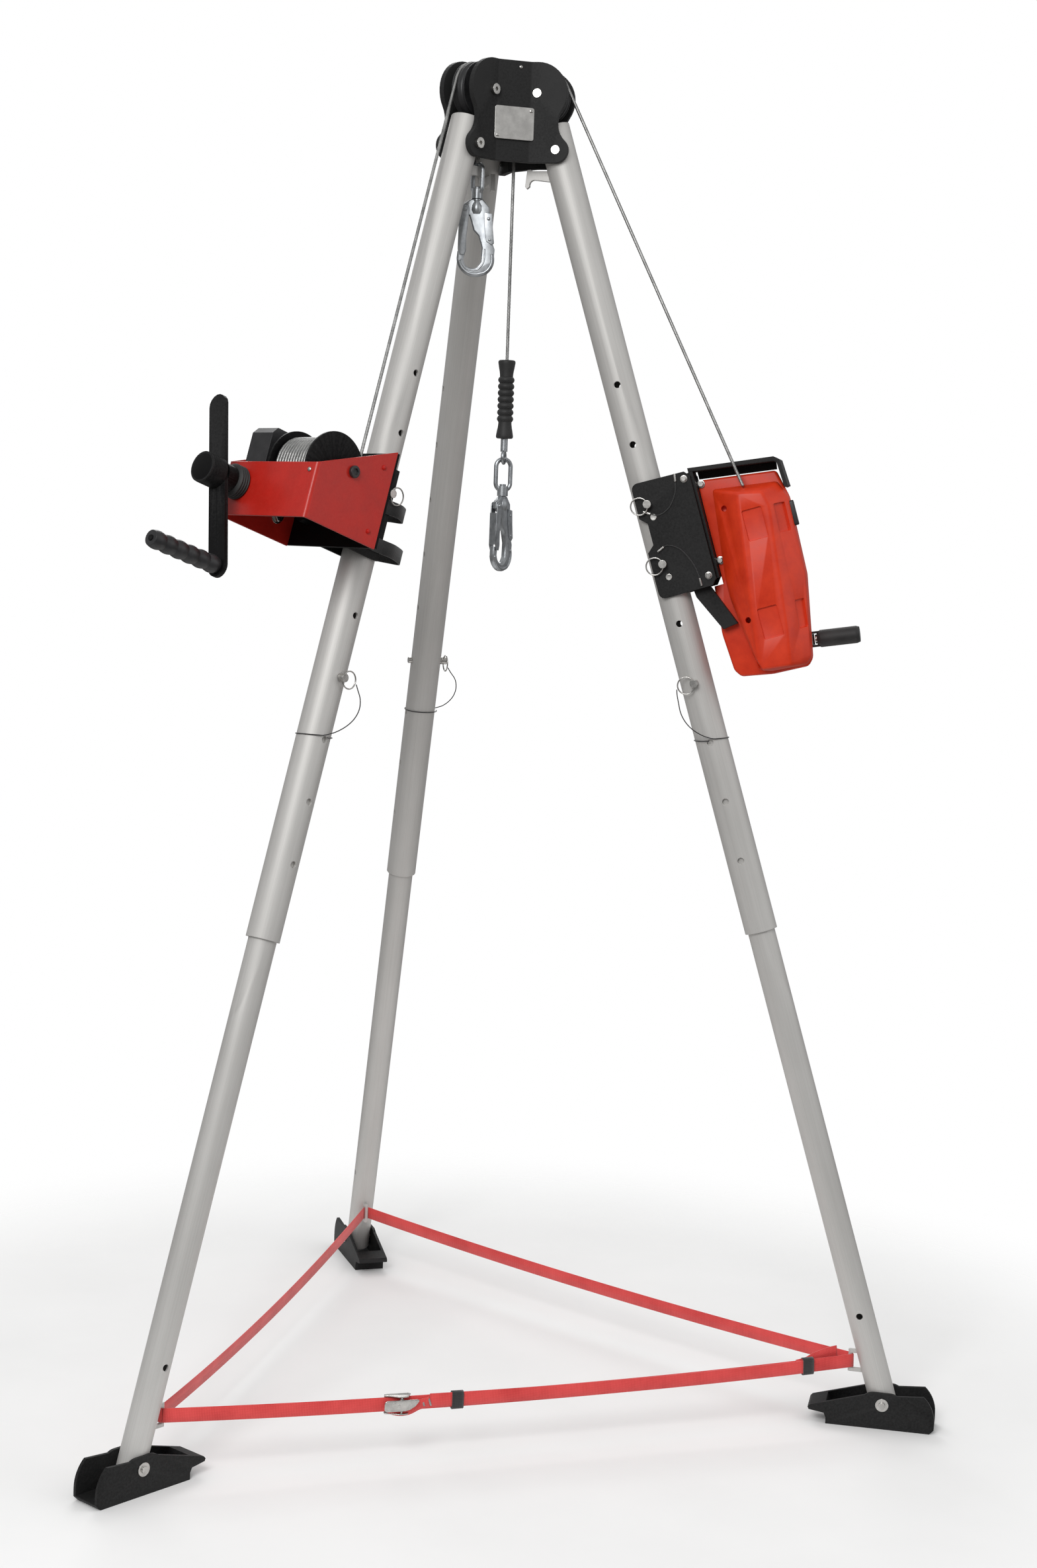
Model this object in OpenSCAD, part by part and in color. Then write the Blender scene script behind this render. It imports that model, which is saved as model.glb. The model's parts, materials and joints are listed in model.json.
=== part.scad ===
// Rescue tripod: three telescopic legs on a hinged head, a worm winch and a fall arrester.
// Millimetres, +Z up, origin on the floor under the middle axis of the head.

/* [Legs] */
// Angle of each leg from the vertical when it stands on its stop
leg_lean = 17.1; // [14:0.1:20]
// Distance of each hinge bolt from the middle axis
hinge_r = 108; // [104:1:112]
// Outer tube diameter
outer_d = 60; // [58:1:62]
// Outer tube wall
outer_wall = 5; // [4:0.5:6]
// Inner tube wall
inner_wall = 4; // [3:0.5:5]
// Outer tube length above the hinge bolt
outer_above = 48; // [40:1:50]
// Outer tube length below the hinge bolt
outer_below = 1467; // [1435:1:1615]
// Distance from the hinge bolt to the lock pin
pin_drop = 995; // [985:1:1005]
// Distance from the lock pin to the foot pivot
inner_below = 1375; // [1315:1:1515]
// Spacing of the holes that set the leg length
hole_pitch = 112; // [105:1:120]
// Lock pin diameter
lock_pin_d = 12; // [10:0.5:14]
// Inner tube above the lock pin
inner_above = 20; // [12:1:40]

/* [Feet] */
// Height of the foot pivot above the sole
foot_pivot_h = 46; // [40:1:52]
// Height of the foot's cheeks
foot_cheek_h = 68; // [64:1:80]
// Thickness of the foot's cheeks and sole
foot_wall = 6; // [5:0.5:8]
// Sole length on the outward side of the pivot
foot_out = 96; // [80:1:120]
// Sole length on the inward side of the pivot
foot_in = 102; // [90:1:120]
// Reach of the toe past the sole
toe_reach = 34; // [20:1:45]

/* [Head] */
// Thickness of the bent head plates
plate_t = 10; // [8:0.5:12]
// Distance from the middle axis to the flat panel's outer face
panel_r = 66; // [64:0.5:67]
// Radius of the lug around each hinge bolt
lug_r = 23; // [18:1:26]
// Hinge bolt and pulley axle diameter
bolt_d = 12; // [10:0.5:14]
// Distance of the pulley axles from the middle axis
axle_r = 71; // [70.5:0.5:73]
// Height of the pulley axles above the hinge bolts
axle_h = 100; // [98:1:106]
// Radius of the cheek around each pulley
cheek_r = 55; // [54:0.5:60]
// Pulley rim radius
pulley_r = 51; // [48:0.5:52]
// Pulley groove radius
groove_r = 46; // [42:0.5:46]
// Pulley width
pulley_w = 30; // [26:0.5:31]
// Cable diameter
cable_d = 6; // [5:0.5:6]

/* [Winch] */
// Length of the winch frame from the leg bracket outwards
winch_len = 172; // [160:1:190]
// Width of the winch frame
winch_w = 222; // [210:1:240]
// Thickness of the winch frame's sheet
winch_t = 4; // [3:0.5:5]
// Height of the frame at the leg
winch_h_leg = 174; // [160:1:180]
// Height of the frame at its outer end
winch_h_end = 95; // [86:1:110]
// Distance from the hinge bolt to the top edge of the frame
winch_drop = 609; // [600:1:620]
// Teeth on the worm wheel
wheel_teeth = 22; // [20:1:24]
// Gear module
gear_module = 3.5; // [3.2:0.1:3.6]
// Drum core radius
drum_core_r = 52; // [46:0.5:53]
// Drum flange radius
drum_flange_r = 68; // [64:0.5:69]
// Turns in the outer layer of cable
drum_turns = 12; // [8:1:12]
// Length of the crank arm from the shaft to the grip
crank_reach = 172; // [150:1:180]
// Crank grip length
crank_grip_l = 146; // [120:1:150]

/* [Arrester] */
// Depth of the arrester's front half
arrester_front = 62; // [50:1:70]
// Depth of the arrester's rear half
arrester_back = 44; // [36:1:50]
// Distance between the bracket's plates and the tube, each side
bracket_gap = 0.5; // [0.3:0.1:1.5]
// Thickness of the bracket's plates
bracket_t = 5; // [4:0.5:6]
// Reach of the arrester crank
arrester_reach = 66; // [60:1:72]

/* [Strap] */
// Webbing width
web_w = 25; // [20:1:30]
// Webbing thickness
web_t = 2.5; // [1.5:0.1:3]
// How far each run of the foot strap hangs at its middle: right to back, back to left, left to right
strap_sag = [12, 20, 14]; // [0:1:30]
// Distance from the foot pivot up the leg to the strap eye
eye_up = 73; // [72:1:90]

/* [Hidden] */
$fn = 48;

// Directions of the legs round the head
BACK = 90;
LEFT = 210;
RIGHT = 330;
// Radial running clearance of pins, shafts and tubes
run = 0.05;
// Gap kept between faces of pieces that move past each other
clear = 0.4;
// Room between a leg and each wing of the head
side_gap = 1.5;

inner_d = outer_d - 2 * outer_wall - 2 * run;
leg_len = pin_drop + inner_below;
hinge_z = foot_pivot_h + leg_len * cos(leg_lean);
hole_d = lock_pin_d + 2 * run;
wing_in = outer_d / 2 + side_gap;
wing_out = wing_in + plate_t;
cable_r = cable_d / 2;
// Radius of the cable's middle line on a pulley, and its place across the pulley
wrap_r = groove_r + cable_r + 0.5;
groove_y = pulley_w / 4;

// Frame of a leg: x outwards, y round the head, z up along the leg, from the hinge bolt
module at_leg(az, drop = 0)
  rotate([0, 0, az]) translate([hinge_r, 0, hinge_z]) rotate([0, -leg_lean, 0])
    translate([0, 0, -drop]) children();

// A cylinder along y, centred
module rod_y(d, l, fn = 48) rotate([90, 0, 0]) cylinder(d = d, h = l, center = true, $fn = fn);

// A cylinder along x from the origin
module rod_x(d, l, fn = 48) rotate([0, 90, 0]) cylinder(d = d, h = l, $fn = fn);

// Points on an arc
function arc(c, r, a0, a1, n = 10) = [for (i = [0:n]) c + r * [cos(a0 + (a1 - a0) * i / n),
  sin(a0 + (a1 - a0) * i / n)]];

// Place of a leg-frame point in the whole frame
function leg_point(az, p) = let (x = hinge_r + p.x * cos(leg_lean) - p.z * sin(leg_lean),
  z = hinge_z + p.x * sin(leg_lean) + p.z * cos(leg_lean))
  [x * cos(az) - p.y * sin(az), x * sin(az) + p.y * cos(az), z];

// Sweep of a round tube along points
function unit(v) = v / norm(v);
function tangent(p, i) = unit(p[min(i + 1, len(p) - 1)] - p[max(i - 1, 0)]);
module tube(p, r, side, n = 8) {
  rings = [for (i = [0:len(p) - 1])
    let (t = tangent(p, i), a = unit(cross(side, t)), b = cross(t, a))
    for (k = [0:n - 1]) p[i] + r * (cos(360 * k / n) * a + sin(360 * k / n) * b)];
  last = (len(p) - 1) * n;
  walls = [for (i = [0:len(p) - 2], k = [0:n - 1])
    let (a = i * n + k, b = i * n + (k + 1) % n)
    each [[a, a + n, b], [b, a + n, b + n]]];
  caps = [for (k = [1:n - 2]) each [[0, k, k + 1], [last, last + k + 1, last + k]]];
  polyhedron(points = rings, faces = concat(walls, caps), convexity = 8);
}

// Head

// Where the bent wings leave the flat panel
bend_y = (panel_r * sin(60) - wing_out) / cos(60);
bend_w = panel_r * cos(60) + bend_y * sin(60);
mitre = plate_t * tan(15);
waist_r = 40;
// Waist arc that touches the lug and the cheek
lug_c = [hinge_r, 0];
cheek_c = [axle_r, axle_h];
span = norm(cheek_c - lug_c);
waist_turn = acos((pow(lug_r + waist_r, 2) + span * span - pow(cheek_r + waist_r,
  2)) / (2 * (lug_r + waist_r) * span));
waist_a = atan2(cheek_c.y - lug_c.y, cheek_c.x - lug_c.x) - waist_turn;
waist_c = lug_c + (lug_r + waist_r) * [cos(waist_a), sin(waist_a)];
cheek_a = atan2(waist_c.y - cheek_c.y, waist_c.x - cheek_c.x);
head_top = axle_h + cheek_r;

// What is cut away round the end of a wing, in the leg's plane
cut_end = hinge_r + lug_r + 20;
module wing_cut() polygon(concat(
  [[cut_end, head_top + 20], [cut_end, -lug_r - 20], [hinge_r, -lug_r - 20]],
  arc(lug_c, lug_r, -90, waist_a, 12),
  arc(waist_c, waist_r, waist_a + 180, cheek_a + 180, 8),
  arc(cheek_c, cheek_r, cheek_a, 90, 14),
  [[axle_r, head_top + 20]]));

// Bent strip seen from above, with its panel facing +x
wing_l = hinge_r + lug_r + 10 - bend_w;
wing_dir = [sin(30), cos(30)];
bend_soft = 3;
function soft_bend(p) = [for (i = [0:4]) let (t = i / 4, a = p - [0, bend_soft], b = p + bend_soft * wing_dir)
  (1 - t) * (1 - t) * a + 2 * t * (1 - t) * p + t * t * b];
strip_out = concat(soft_bend([panel_r, bend_y]), [[panel_r, bend_y] + wing_l * wing_dir]);
strip_in = concat(soft_bend([panel_r - plate_t, bend_y + mitre]),
  [[panel_r - plate_t, bend_y + mitre] + (wing_l + mitre) * wing_dir]);
function far_side(p) = [for (q = p) [q.x, -q.y]];
function turned_back(p) = [for (i = [len(p) - 1:-1:0]) p[i]];
strip = concat(strip_out, turned_back(strip_in), far_side(strip_in), turned_back(far_side(strip_out)));

// One bent plate between two legs, with its panel facing along az
module head_plate(az) color([0.08, 0.08, 0.09]) difference() {
  rotate([0, 0, az]) translate([0, 0, hinge_z - lug_r]) linear_extrude(head_top + lug_r) polygon(strip);
  for (a = [az - 60, az + 60]) rotate([0, 0, a]) translate([0, 0, hinge_z]) {
    translate([0, (a < az ? 1 : -1) * (wing_in + plate_t / 2), 0]) rotate([90, 0, 0])
      linear_extrude(3 * plate_t, center = true) wing_cut();
    translate([hinge_r, 0, 0]) rod_y(bolt_d, 4 * wing_out);
    translate([axle_r, 0, axle_h]) rod_y(bolt_d, 4 * wing_out);
  }
}
module head_plate_front() head_plate((LEFT + RIGHT) / 2);
module head_plate_right() head_plate((RIGHT + BACK) / 2 - 180);
module head_plate_left() head_plate((BACK + LEFT) / 2);

// Bolt across a clevis with a socket head on the +y side and a nut on the other
head_d = bolt_d + 7;
head_h = 7;
module cross_bolt(flat = false) {
  rod_y(bolt_d, 2 * wing_out);
  if (flat) translate([0, wing_out + 1, 0]) rod_y(bolt_d + 4, 2);
  else difference() {
    translate([0, wing_out + head_h / 2, 0]) rod_y(head_d, head_h);
    translate([0, wing_out + head_h, 0]) rod_y(bolt_d * 0.6, head_h, 6);
  }
  translate([0, -wing_out - head_h / 2, 0]) rod_y(head_d + 2, head_h, 6);
}
// The heads of the left leg's bolts face the front plate
function head_side(az) = az == LEFT ? 1 : -1;
module hinge_bolts() color([0.72, 0.72, 0.70])
  for (az = [BACK, LEFT, RIGHT]) rotate([0, 0, az])
    translate([hinge_r, 0, hinge_z]) scale_y(head_side(az)) cross_bolt(az == RIGHT);
module scale_y(s) mirror([0, s < 0 ? 1 : 0, 0]) children();

// Axles with their spacer sleeves: a full sleeve where there is no pulley
sleeve_d = bolt_d + 10;
module pulley_axles() color([0.70, 0.70, 0.70])
  for (az = [BACK, LEFT, RIGHT]) rotate([0, 0, az])
    translate([axle_r, 0, hinge_z + axle_h]) scale_y(head_side(az)) {
    cross_bolt(az == RIGHT);
    sleeve = az == BACK ? 2 * wing_in : wing_in - pulley_w / 2 - clear;
    for (s = az == BACK ? [0] : [-1, 1]) translate([0, s * (wing_in - sleeve / 2), 0])
      rod_y(sleeve_d, sleeve);
  }

// Double-groove pulley
groove_w = cable_d + 5;
function groove_points(y) = [for (i = [0:8]) [pulley_r - (pulley_r - groove_r) * sin(180 * i / 8),
  y - groove_w / 2 + groove_w * i / 8]];
module pulley(az) color([0.06, 0.06, 0.07]) rotate([0, 0, az]) translate([axle_r, 0, hinge_z + axle_h])
  rotate([-90, 0, 0])
  rotate_extrude($fn = 64) polygon(concat(
    [[bolt_d / 2 + run, -pulley_w / 2], [pulley_r, -pulley_w / 2]],
    groove_points(-groove_y), groove_points(groove_y),
    [[pulley_r, pulley_w / 2], [bolt_d / 2 + run, pulley_w / 2]]));
module pulley_left() pulley(LEFT);
module pulley_right() pulley(RIGHT);

// Legs

holes_above = 5;
holes_below = 3;
catch_drop = 40;
catch_reach = 70;
catch_t = 9;
catch_top = 6;
catch_low = 10;

// Catch welded to the inner side of a leg under the head, level when the leg stands
module leg_catch() translate([0, catch_t / 2, -catch_drop]) rotate([0, leg_lean, 0]) rotate([90, 0, 0])
  linear_extrude(catch_t)
  polygon(concat([[0, -catch_low - 6], [0, catch_top], [-catch_reach + 10, catch_top]],
    [[-catch_reach + 6, catch_top + 3], [-catch_reach, catch_top + 2], [-catch_reach - 3, -catch_low - 12],
     [-catch_reach, -catch_low - 16], [-catch_reach + 5, -catch_low - 12]],
    arc([-catch_reach + 14, -catch_low - 9], 9, 180, 90, 6)));

module upper_tube(az) color([0.78, 0.77, 0.74]) at_leg(az) difference() {
  translate([0, 0, -outer_below]) cylinder(d = outer_d, h = outer_below + outer_above, $fn = 96);
  translate([0, 0, -outer_below - 1]) cylinder(d = outer_d - 2 * outer_wall,
    h = outer_below + outer_above + 2, $fn = 96);
  rod_y(bolt_d + 2 * run, 2 * outer_d);
  for (i = [-holes_above:holes_below]) translate([0, 0, -pin_drop - i * hole_pitch])
    rod_y(hole_d, 2 * outer_d);
}
module upper_tube_back() upper_tube(BACK);
module upper_tube_left() upper_tube(LEFT);
module upper_tube_right() upper_tube(RIGHT);

module catch(az) color([0.70, 0.69, 0.67]) at_leg(az) difference() {
  leg_catch();
  cylinder(d = outer_d + 0.1, h = 400, center = true, $fn = 96);
}
module catch_back() catch(BACK);
module catch_left() catch(LEFT);
module catch_right() catch(RIGHT);

// Strap eye on the inner side of the lower tube: a bar held off the tube by two arms
eye_off = 17;
eye_bar = 8;
eye_h = web_w + 4;
inner_end = 20;
module lower_tube(az) color([0.80, 0.79, 0.76]) at_leg(az) {
  difference() {
    translate([0, 0, -leg_len - inner_end]) cylinder(d = inner_d,
      h = inner_below + inner_end + inner_above, $fn = 96);
    translate([0, 0, -leg_len - inner_end - 1]) cylinder(d = inner_d - 2 * inner_wall,
      h = inner_below + inner_end + inner_above + 2, $fn = 96);
    translate([0, 0, -leg_len]) rod_y(bolt_d + 2 * run, 2 * outer_d);
    translate([0, 0, -leg_len + 1.5 * hole_pitch]) rod_y(hole_d, 2 * outer_d);
    translate([0, 0, -pin_drop]) rod_y(hole_d, 2 * outer_d);
    translate([-hole_d / 2, -outer_d, -pin_drop]) cube([hole_d, 2 * outer_d, 2 * inner_above]);
  }
  translate([0, 0, -leg_len + eye_up]) rotate([0, leg_lean, 0]) difference() {
    for (s = [-1, 1]) translate([-inner_d / 2 - eye_off, -eye_bar / 2, s * (eye_h / 2 + 3) - 3])
      cube([eye_off + 14, eye_bar, 6]);
    rotate([0, -leg_lean, 0]) cylinder(d = inner_d - 1, h = 200, center = true);
  }
  translate([0, 0, -leg_len + eye_up]) rotate([0, leg_lean, 0])
    translate([-inner_d / 2 - eye_off, 0, 0]) cylinder(d = eye_bar, h = eye_h + 12, center = true);
}
module lower_tube_back() lower_tube(BACK);
module lower_tube_left() lower_tube(LEFT);
module lower_tube_right() lower_tube(RIGHT);

// Feet: a trough with two cheeks, open outwards, with a toe that points to the middle
foot_in_w = inner_d + 2 * clear;
foot_r = hinge_r + leg_len * sin(leg_lean);
module at_foot(az) rotate([0, 0, az]) translate([foot_r, 0, foot_pivot_h]) children();
toe_z = 24;
toe_t = 9;
module cheek_outline() polygon(concat(
  [[-foot_in, -foot_pivot_h], [foot_out - 8, -foot_pivot_h], [foot_out, -foot_pivot_h + 8]],
  arc([foot_out - 62, -foot_pivot_h + 22], 62, 0, 48, 8),
  arc([14, foot_cheek_h - foot_pivot_h - 26], 26, 60, 90, 4),
  arc([-16, foot_cheek_h - foot_pivot_h - 26], 26, 90, 130, 5),
  [[-foot_in - toe_reach + 4, -foot_pivot_h + toe_z + toe_t],
    [-foot_in - toe_reach, -foot_pivot_h + toe_z + toe_t / 2],
   [-foot_in - toe_reach + 2, -foot_pivot_h + toe_z], [-foot_in - 4, -foot_pivot_h + toe_z - 4],
     [-foot_in, -foot_pivot_h + 12]]));
// Inside of the trough, with its inner wall sloping up towards the toe
trough_x = -foot_in + 22;
trough_z = -foot_pivot_h + foot_wall + 4;
module trough_cut() polygon([[trough_x, trough_z], [foot_out + 50, trough_z], [foot_out + 50, 100],
  [trough_x - (100 - trough_z) * tan(36), 100]]);
module foot(az) color([0.07, 0.07, 0.08]) at_foot(az) difference() {
  rotate([90, 0, 0]) linear_extrude(foot_in_w + 2 * foot_wall, center = true) cheek_outline();
  rotate([90, 0, 0]) linear_extrude(foot_in_w, center = true) trough_cut();
  rod_y(bolt_d, 3 * foot_in_w);
}
module foot_back() foot(BACK);
module foot_left() foot(LEFT);
module foot_right() foot(RIGHT);

// Pivot pin of a foot with a washer and a head on each side
module foot_pin(az) color([0.74, 0.73, 0.70]) at_foot(az) {
  rod_y(bolt_d, foot_in_w + 2 * foot_wall);
  for (s = [-1, 1]) translate([0, s * (foot_in_w / 2 + foot_wall + 1), 0]) {
    rod_y(2 * bolt_d, 2);
    translate([0, s * 2.5, 0]) rod_y(bolt_d, 3);
  }
}
module foot_pin_back() foot_pin(BACK);
module foot_pin_left() foot_pin(LEFT);
module foot_pin_right() foot_pin(RIGHT);

// Quick-release pin along y with a head, a ring through it and a ball end
ring_r = 15.5;
ring_rod = 2.6;
module ring_pin(half_w) {
  tail = half_w + 7;
  translate([0, (half_w + 1 - tail) / 2, 0]) rod_y(lock_pin_d, half_w + 1 + tail);
  difference() {
    translate([0, half_w + 1 + 6, 0]) rod_y(lock_pin_d + 3, 12);
    translate([0, half_w + 1 + 6, 0]) split_ring(ring_rod + 1);
  }
  translate([0, half_w + 1 + 6, 0]) split_ring(ring_rod);
}
module split_ring(d) translate([-ring_r, 0, 0]) rotate([90, 0, 0])
  rotate_extrude($fn = 48) translate([ring_r, 0]) circle(d = d, $fn = 16);
function pin_side(az) = az == LEFT ? 1 : -1;
module lock_pin(az) color([0.76, 0.76, 0.75]) at_leg(az,
  pin_drop) scale_y(pin_side(az)) ring_pin(outer_d / 2);
module lock_pin_back() lock_pin(BACK);
module lock_pin_left() lock_pin(LEFT);
module lock_pin_right() lock_pin(RIGHT);

// Thin lanyard from a lock pin's ring to a loop round the tube below
lanyard_r = 1;
lanyard_loop_drop = 105;
lanyard_route = [[-33.6, 38, -3], [-34.5, 44, -12], [-34, 56, -28], [-34, 60, -46], [-30, 58, -64],
  [-22, 52, -80],
  [-10, 44, -94], [0, 36, -102]];
lanyard_loop = [for (i = [1:24]) (outer_d / 2 + lanyard_r + 0.3 + 3.4 * max(0, 1 - i / 4) + 2.8 * max(0,
  i / 4 - 5)) *
  [cos(90 - i * 15), sin(90 - i * 15), 0] + [0, 0, -lanyard_loop_drop - 6 * sin(i * 15) - i * 0.15]];
module lanyard(az) color([0.05, 0.05, 0.05]) at_leg(az, pin_drop) scale_y(pin_side(az))
  tube(concat(lanyard_route, lanyard_loop), lanyard_r, [0, 0, 1]);
module lanyard_back() lanyard(BACK);
module lanyard_left() lanyard(LEFT);
module lanyard_right() lanyard(RIGHT);

// Cables

// Place in a leg's upright plane: distance from the middle axis, offset and height above the hinge
function plane_point(p) = [hinge_r + p.x * cos(leg_lean) - p.z * sin(leg_lean), p.y,
  p.x * sin(leg_lean) + p.z * cos(leg_lean)];
function spin(az, p) = [p.x * cos(az) - p.y * sin(az), p.x * sin(az) + p.y * cos(az), p.z + hinge_z];
// Angle on the pulley where a cable from a point outside comes on
function wrap_angle(p) = atan2(p.z - axle_h, p.x - axle_r) + acos(wrap_r / norm([p.x - axle_r,
  p.z - axle_h]));
function on_pulley(a, y) = [axle_r + wrap_r * cos(a), y, axle_h + wrap_r * sin(a)];
function mix(a, b, n) = [for (i = [0:n - 1]) a + (b - a) * i / n];
// Route of a cable: up from its drum, over the pulley and down inside the head
function over_pulley(p, y, down) = let (a = wrap_angle(p))
  concat(mix(p, on_pulley(a, y), 12), [for (i = [0:16]) on_pulley(a + (180 - a) * i / 16, y)], down);

// Hoist winch on the left leg

bracket_in = outer_d / 2 + bracket_gap;
bracket_out = bracket_in + bracket_t;
winch_off = 36.5;
winch_x = bracket_out + winch_off;
winch_end = winch_x + winch_len;
winch_pin_drop = pin_drop - 3 * hole_pitch;
panel_in = winch_w / 2 - winch_t;
// Drum axis
axis_drop = 67;
drum_x = winch_x + 90;
drum_z = -winch_drop - axis_drop;
drum_shaft = 16;
flange_t = 4;
drum_front = panel_in - 41;
drum_len = winch_w / 2 - 23;
drum_y0 = drum_front - flange_t - drum_len;
// Worm and wheel
wheel_pitch_r = gear_module * wheel_teeth / 2;
wheel_w = 12;
wheel_y = -panel_in + 37;
worm_pitch_r = 13.5;
worm_lead = PI * gear_module;
worm_z = drum_z - wheel_pitch_r - worm_pitch_r;
worm_core_r = worm_pitch_r - 1.3 * gear_module;
worm_tip_r = worm_pitch_r + 0.9 * gear_module;
worm_l = 66;
worm_shaft_d = 14;
bearing_l = 20;

module at_winch() at_leg(LEFT) children();

// Saddle round the leg, the wide back plate and the inner bearing of the worm
module winch_bracket() color([0.07, 0.07, 0.08]) at_winch() difference() {
  union() {
    for (s = [-1, 1]) translate([-14, s * (bracket_in + bracket_t / 2) - bracket_t / 2,
      -winch_drop - winch_h_leg + 4])
      cube([14 + winch_x, bracket_t, winch_h_leg - 8]);
    translate([winch_x - bracket_t, -winch_w / 2, -winch_drop - winch_h_leg + 2])
      cube([bracket_t, winch_w, winch_h_leg - 4]);
    translate([winch_x - 1, wheel_y, worm_z]) rod_x(worm_shaft_d + 16, bearing_l + 1);
  }
  translate([0, 0, -winch_pin_drop]) rod_y(hole_d, 4 * outer_d);
  translate([winch_x, wheel_y, worm_z]) rod_x(worm_shaft_d + 2 * run, bearing_l + 5);
}
module winch_bracket_pin() color([0.76, 0.76, 0.75]) at_leg(LEFT, winch_pin_drop) ring_pin(bracket_out);

// Two webbing loops that hold the saddle to the leg
loop_reach = 50;
loop_y = bracket_out + 0.4;
function ellipse(a, b, a0, a1, n) = [for (i = [0:n])
  let (t = a0 + (a1 - a0) * i / n) [-14 + a * cos(t), b * sin(t)]];
module winch_straps() color([0.05, 0.05, 0.05]) at_winch()
  for (d = [60, winch_h_leg - 43]) translate([0, 0, -winch_drop - d - web_w]) linear_extrude(web_w)
    polygon(concat([[18, loop_y + web_t]], ellipse(loop_reach + web_t, loop_y + web_t, 90, 270, 24),
      [[18, -loop_y - web_t], [18, -loop_y]],
      ellipse(loop_reach, loop_y, 270, 90, 24), [[18, loop_y]]));

// Frame seen from above: a sheet folded round two corners
bend_r = 8;
function fold(half, end, r) = concat([[winch_x, -half]], arc([end - r, -half + r], r, -90, 0, 6),
  arc([end - r, half - r], r, 0, 90, 6), [[winch_x, half]]);
function upper_edge(x) = -(winch_h_leg - winch_h_end) * x / winch_len;
// Folded sheet: two side panels and an end plate, open above and below
module winch_frame() color([0.72, 0.10, 0.07]) at_winch() difference() {
  translate([0, 0, -winch_drop - winch_h_leg]) linear_extrude(winch_h_leg + 20)
    polygon(concat(fold(winch_w / 2, winch_end, bend_r),
      turned_back(fold(panel_in, winch_end - winch_t, bend_r - winch_t))));
  translate([winch_x, winch_w, -winch_drop]) rotate([90, 0, 0]) linear_extrude(2 * winch_w)
    polygon([[-5, upper_edge(-5)], [-5, 60], [winch_len + 5, 60],
      [winch_len + 5, upper_edge(winch_len + 5)]]);
  translate([drum_x, 0, drum_z]) rod_y(drum_shaft + 2 * run, 2 * winch_w);
  translate([winch_end - 30, wheel_y, worm_z]) rod_x(worm_shaft_d + 2 * run, 60);
}

// Cover over the worm wheel, open below
cover_t = 3;
cover_half = wheel_pitch_r + gear_module + 8;
cover_top = drum_z + cover_half + 14;
cover_y = wheel_y + wheel_w / 2 + 5;
module gear_cover() color([0.05, 0.05, 0.06]) at_winch() difference() {
  translate([0, cover_y + cover_t, 0]) rotate([90, 0, 0]) linear_extrude(cover_y + cover_t + panel_in)
    polygon([[drum_x - cover_half, drum_z - 6], [drum_x + cover_half, drum_z - 6],
      [drum_x + cover_half, cover_top - 12],
      [drum_x + cover_half - 10, cover_top], [drum_x - cover_half + 10, cover_top],
        [drum_x - cover_half, cover_top - 12]]);
  translate([0, cover_y, 0]) rotate([90, 0, 0]) linear_extrude(cover_y + panel_in - cover_t)
    polygon([[drum_x - cover_half + cover_t, drum_z - 20], [drum_x + cover_half - cover_t, drum_z - 20],
      [drum_x + cover_half - cover_t, cover_top - 13], [drum_x + cover_half - 11, cover_top - cover_t],
      [drum_x - cover_half + 11, cover_top - cover_t], [drum_x - cover_half + cover_t, cover_top - 13]]);
  translate([drum_x, 0, drum_z]) rod_y(drum_shaft + 2, 2 * winch_w);
  translate([drum_x - drum_shaft / 2 - 1, -winch_w, drum_z - 30]) cube([drum_shaft + 2, 2 * winch_w, 30]);
}

// Drum with its shaft and flanges
module drum() color([0.08, 0.08, 0.09]) at_winch() translate([drum_x, 0, drum_z]) rotate([-90, 0, 0]) {
  translate([0, 0, -winch_w / 2 - 2]) cylinder(d = drum_shaft, h = winch_w + 4);
  translate([0, 0, drum_y0]) cylinder(r = drum_core_r, h = drum_len, $fn = 64);
  for (z = [drum_y0 - flange_t, drum_y0 + drum_len]) translate([0, 0, z])
    cylinder(r = drum_flange_r, h = flange_t, $fn = 96);
}

// Outer layer of cable: one unbroken tube that ends straight up towards the pulley
wind_r = drum_core_r + cable_r + 0.5;
wind_pitch = (drum_len - cable_d - 1.4) / drum_turns;
wind_steps = 24 * drum_turns;
wind = concat([for (i = [0:wind_steps]) let (a = 180 + 15 * (wind_steps - i))
  [drum_x + wind_r * cos(a), drum_y0 + cable_r + 0.7 + wind_pitch * i / 24, drum_z + wind_r * sin(a)]],
  [[drum_x - wind_r, drum_y0 + cable_r + 0.7 + wind_pitch * drum_turns, drum_z + cable_d]]);
wind_gap = min([for (i = [0:wind_steps], j = [i + 12:min(i + 36,
  wind_steps)]) norm(wind[i] - wind[j])]) - cable_d;
module drum_cable() color([0.66, 0.66, 0.66]) at_winch() {
  echo(least_gap_of_winding = wind_gap);
  tube(wind, cable_r, [0, 1, 0], 6);
}

// Worm wheel with straight teeth
tooth_a = 360 / wheel_teeth;
wheel_tip_r = wheel_pitch_r + 0.9 * gear_module;
wheel_root_r = wheel_pitch_r - 1.2 * gear_module;
function tooth(i) = let (a = -90 + tooth_a * (i + 0.5)) [for (c = [[wheel_root_r, -0.36],
  [wheel_tip_r, -0.09], [wheel_tip_r, 0.09], [wheel_root_r, 0.36]])
  c[0] * [cos(a + c[1] * tooth_a), sin(a + c[1] * tooth_a)]];
module worm_wheel() color([0.62, 0.50, 0.25]) at_winch() translate([drum_x, wheel_y + wheel_w / 2, drum_z])
  rotate([90, 0, 0])
  linear_extrude(wheel_w) difference() {
    polygon([for (i = [0:wheel_teeth - 1]) each tooth(i)]);
    circle(d = drum_shaft + 0.04);
  }

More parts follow.
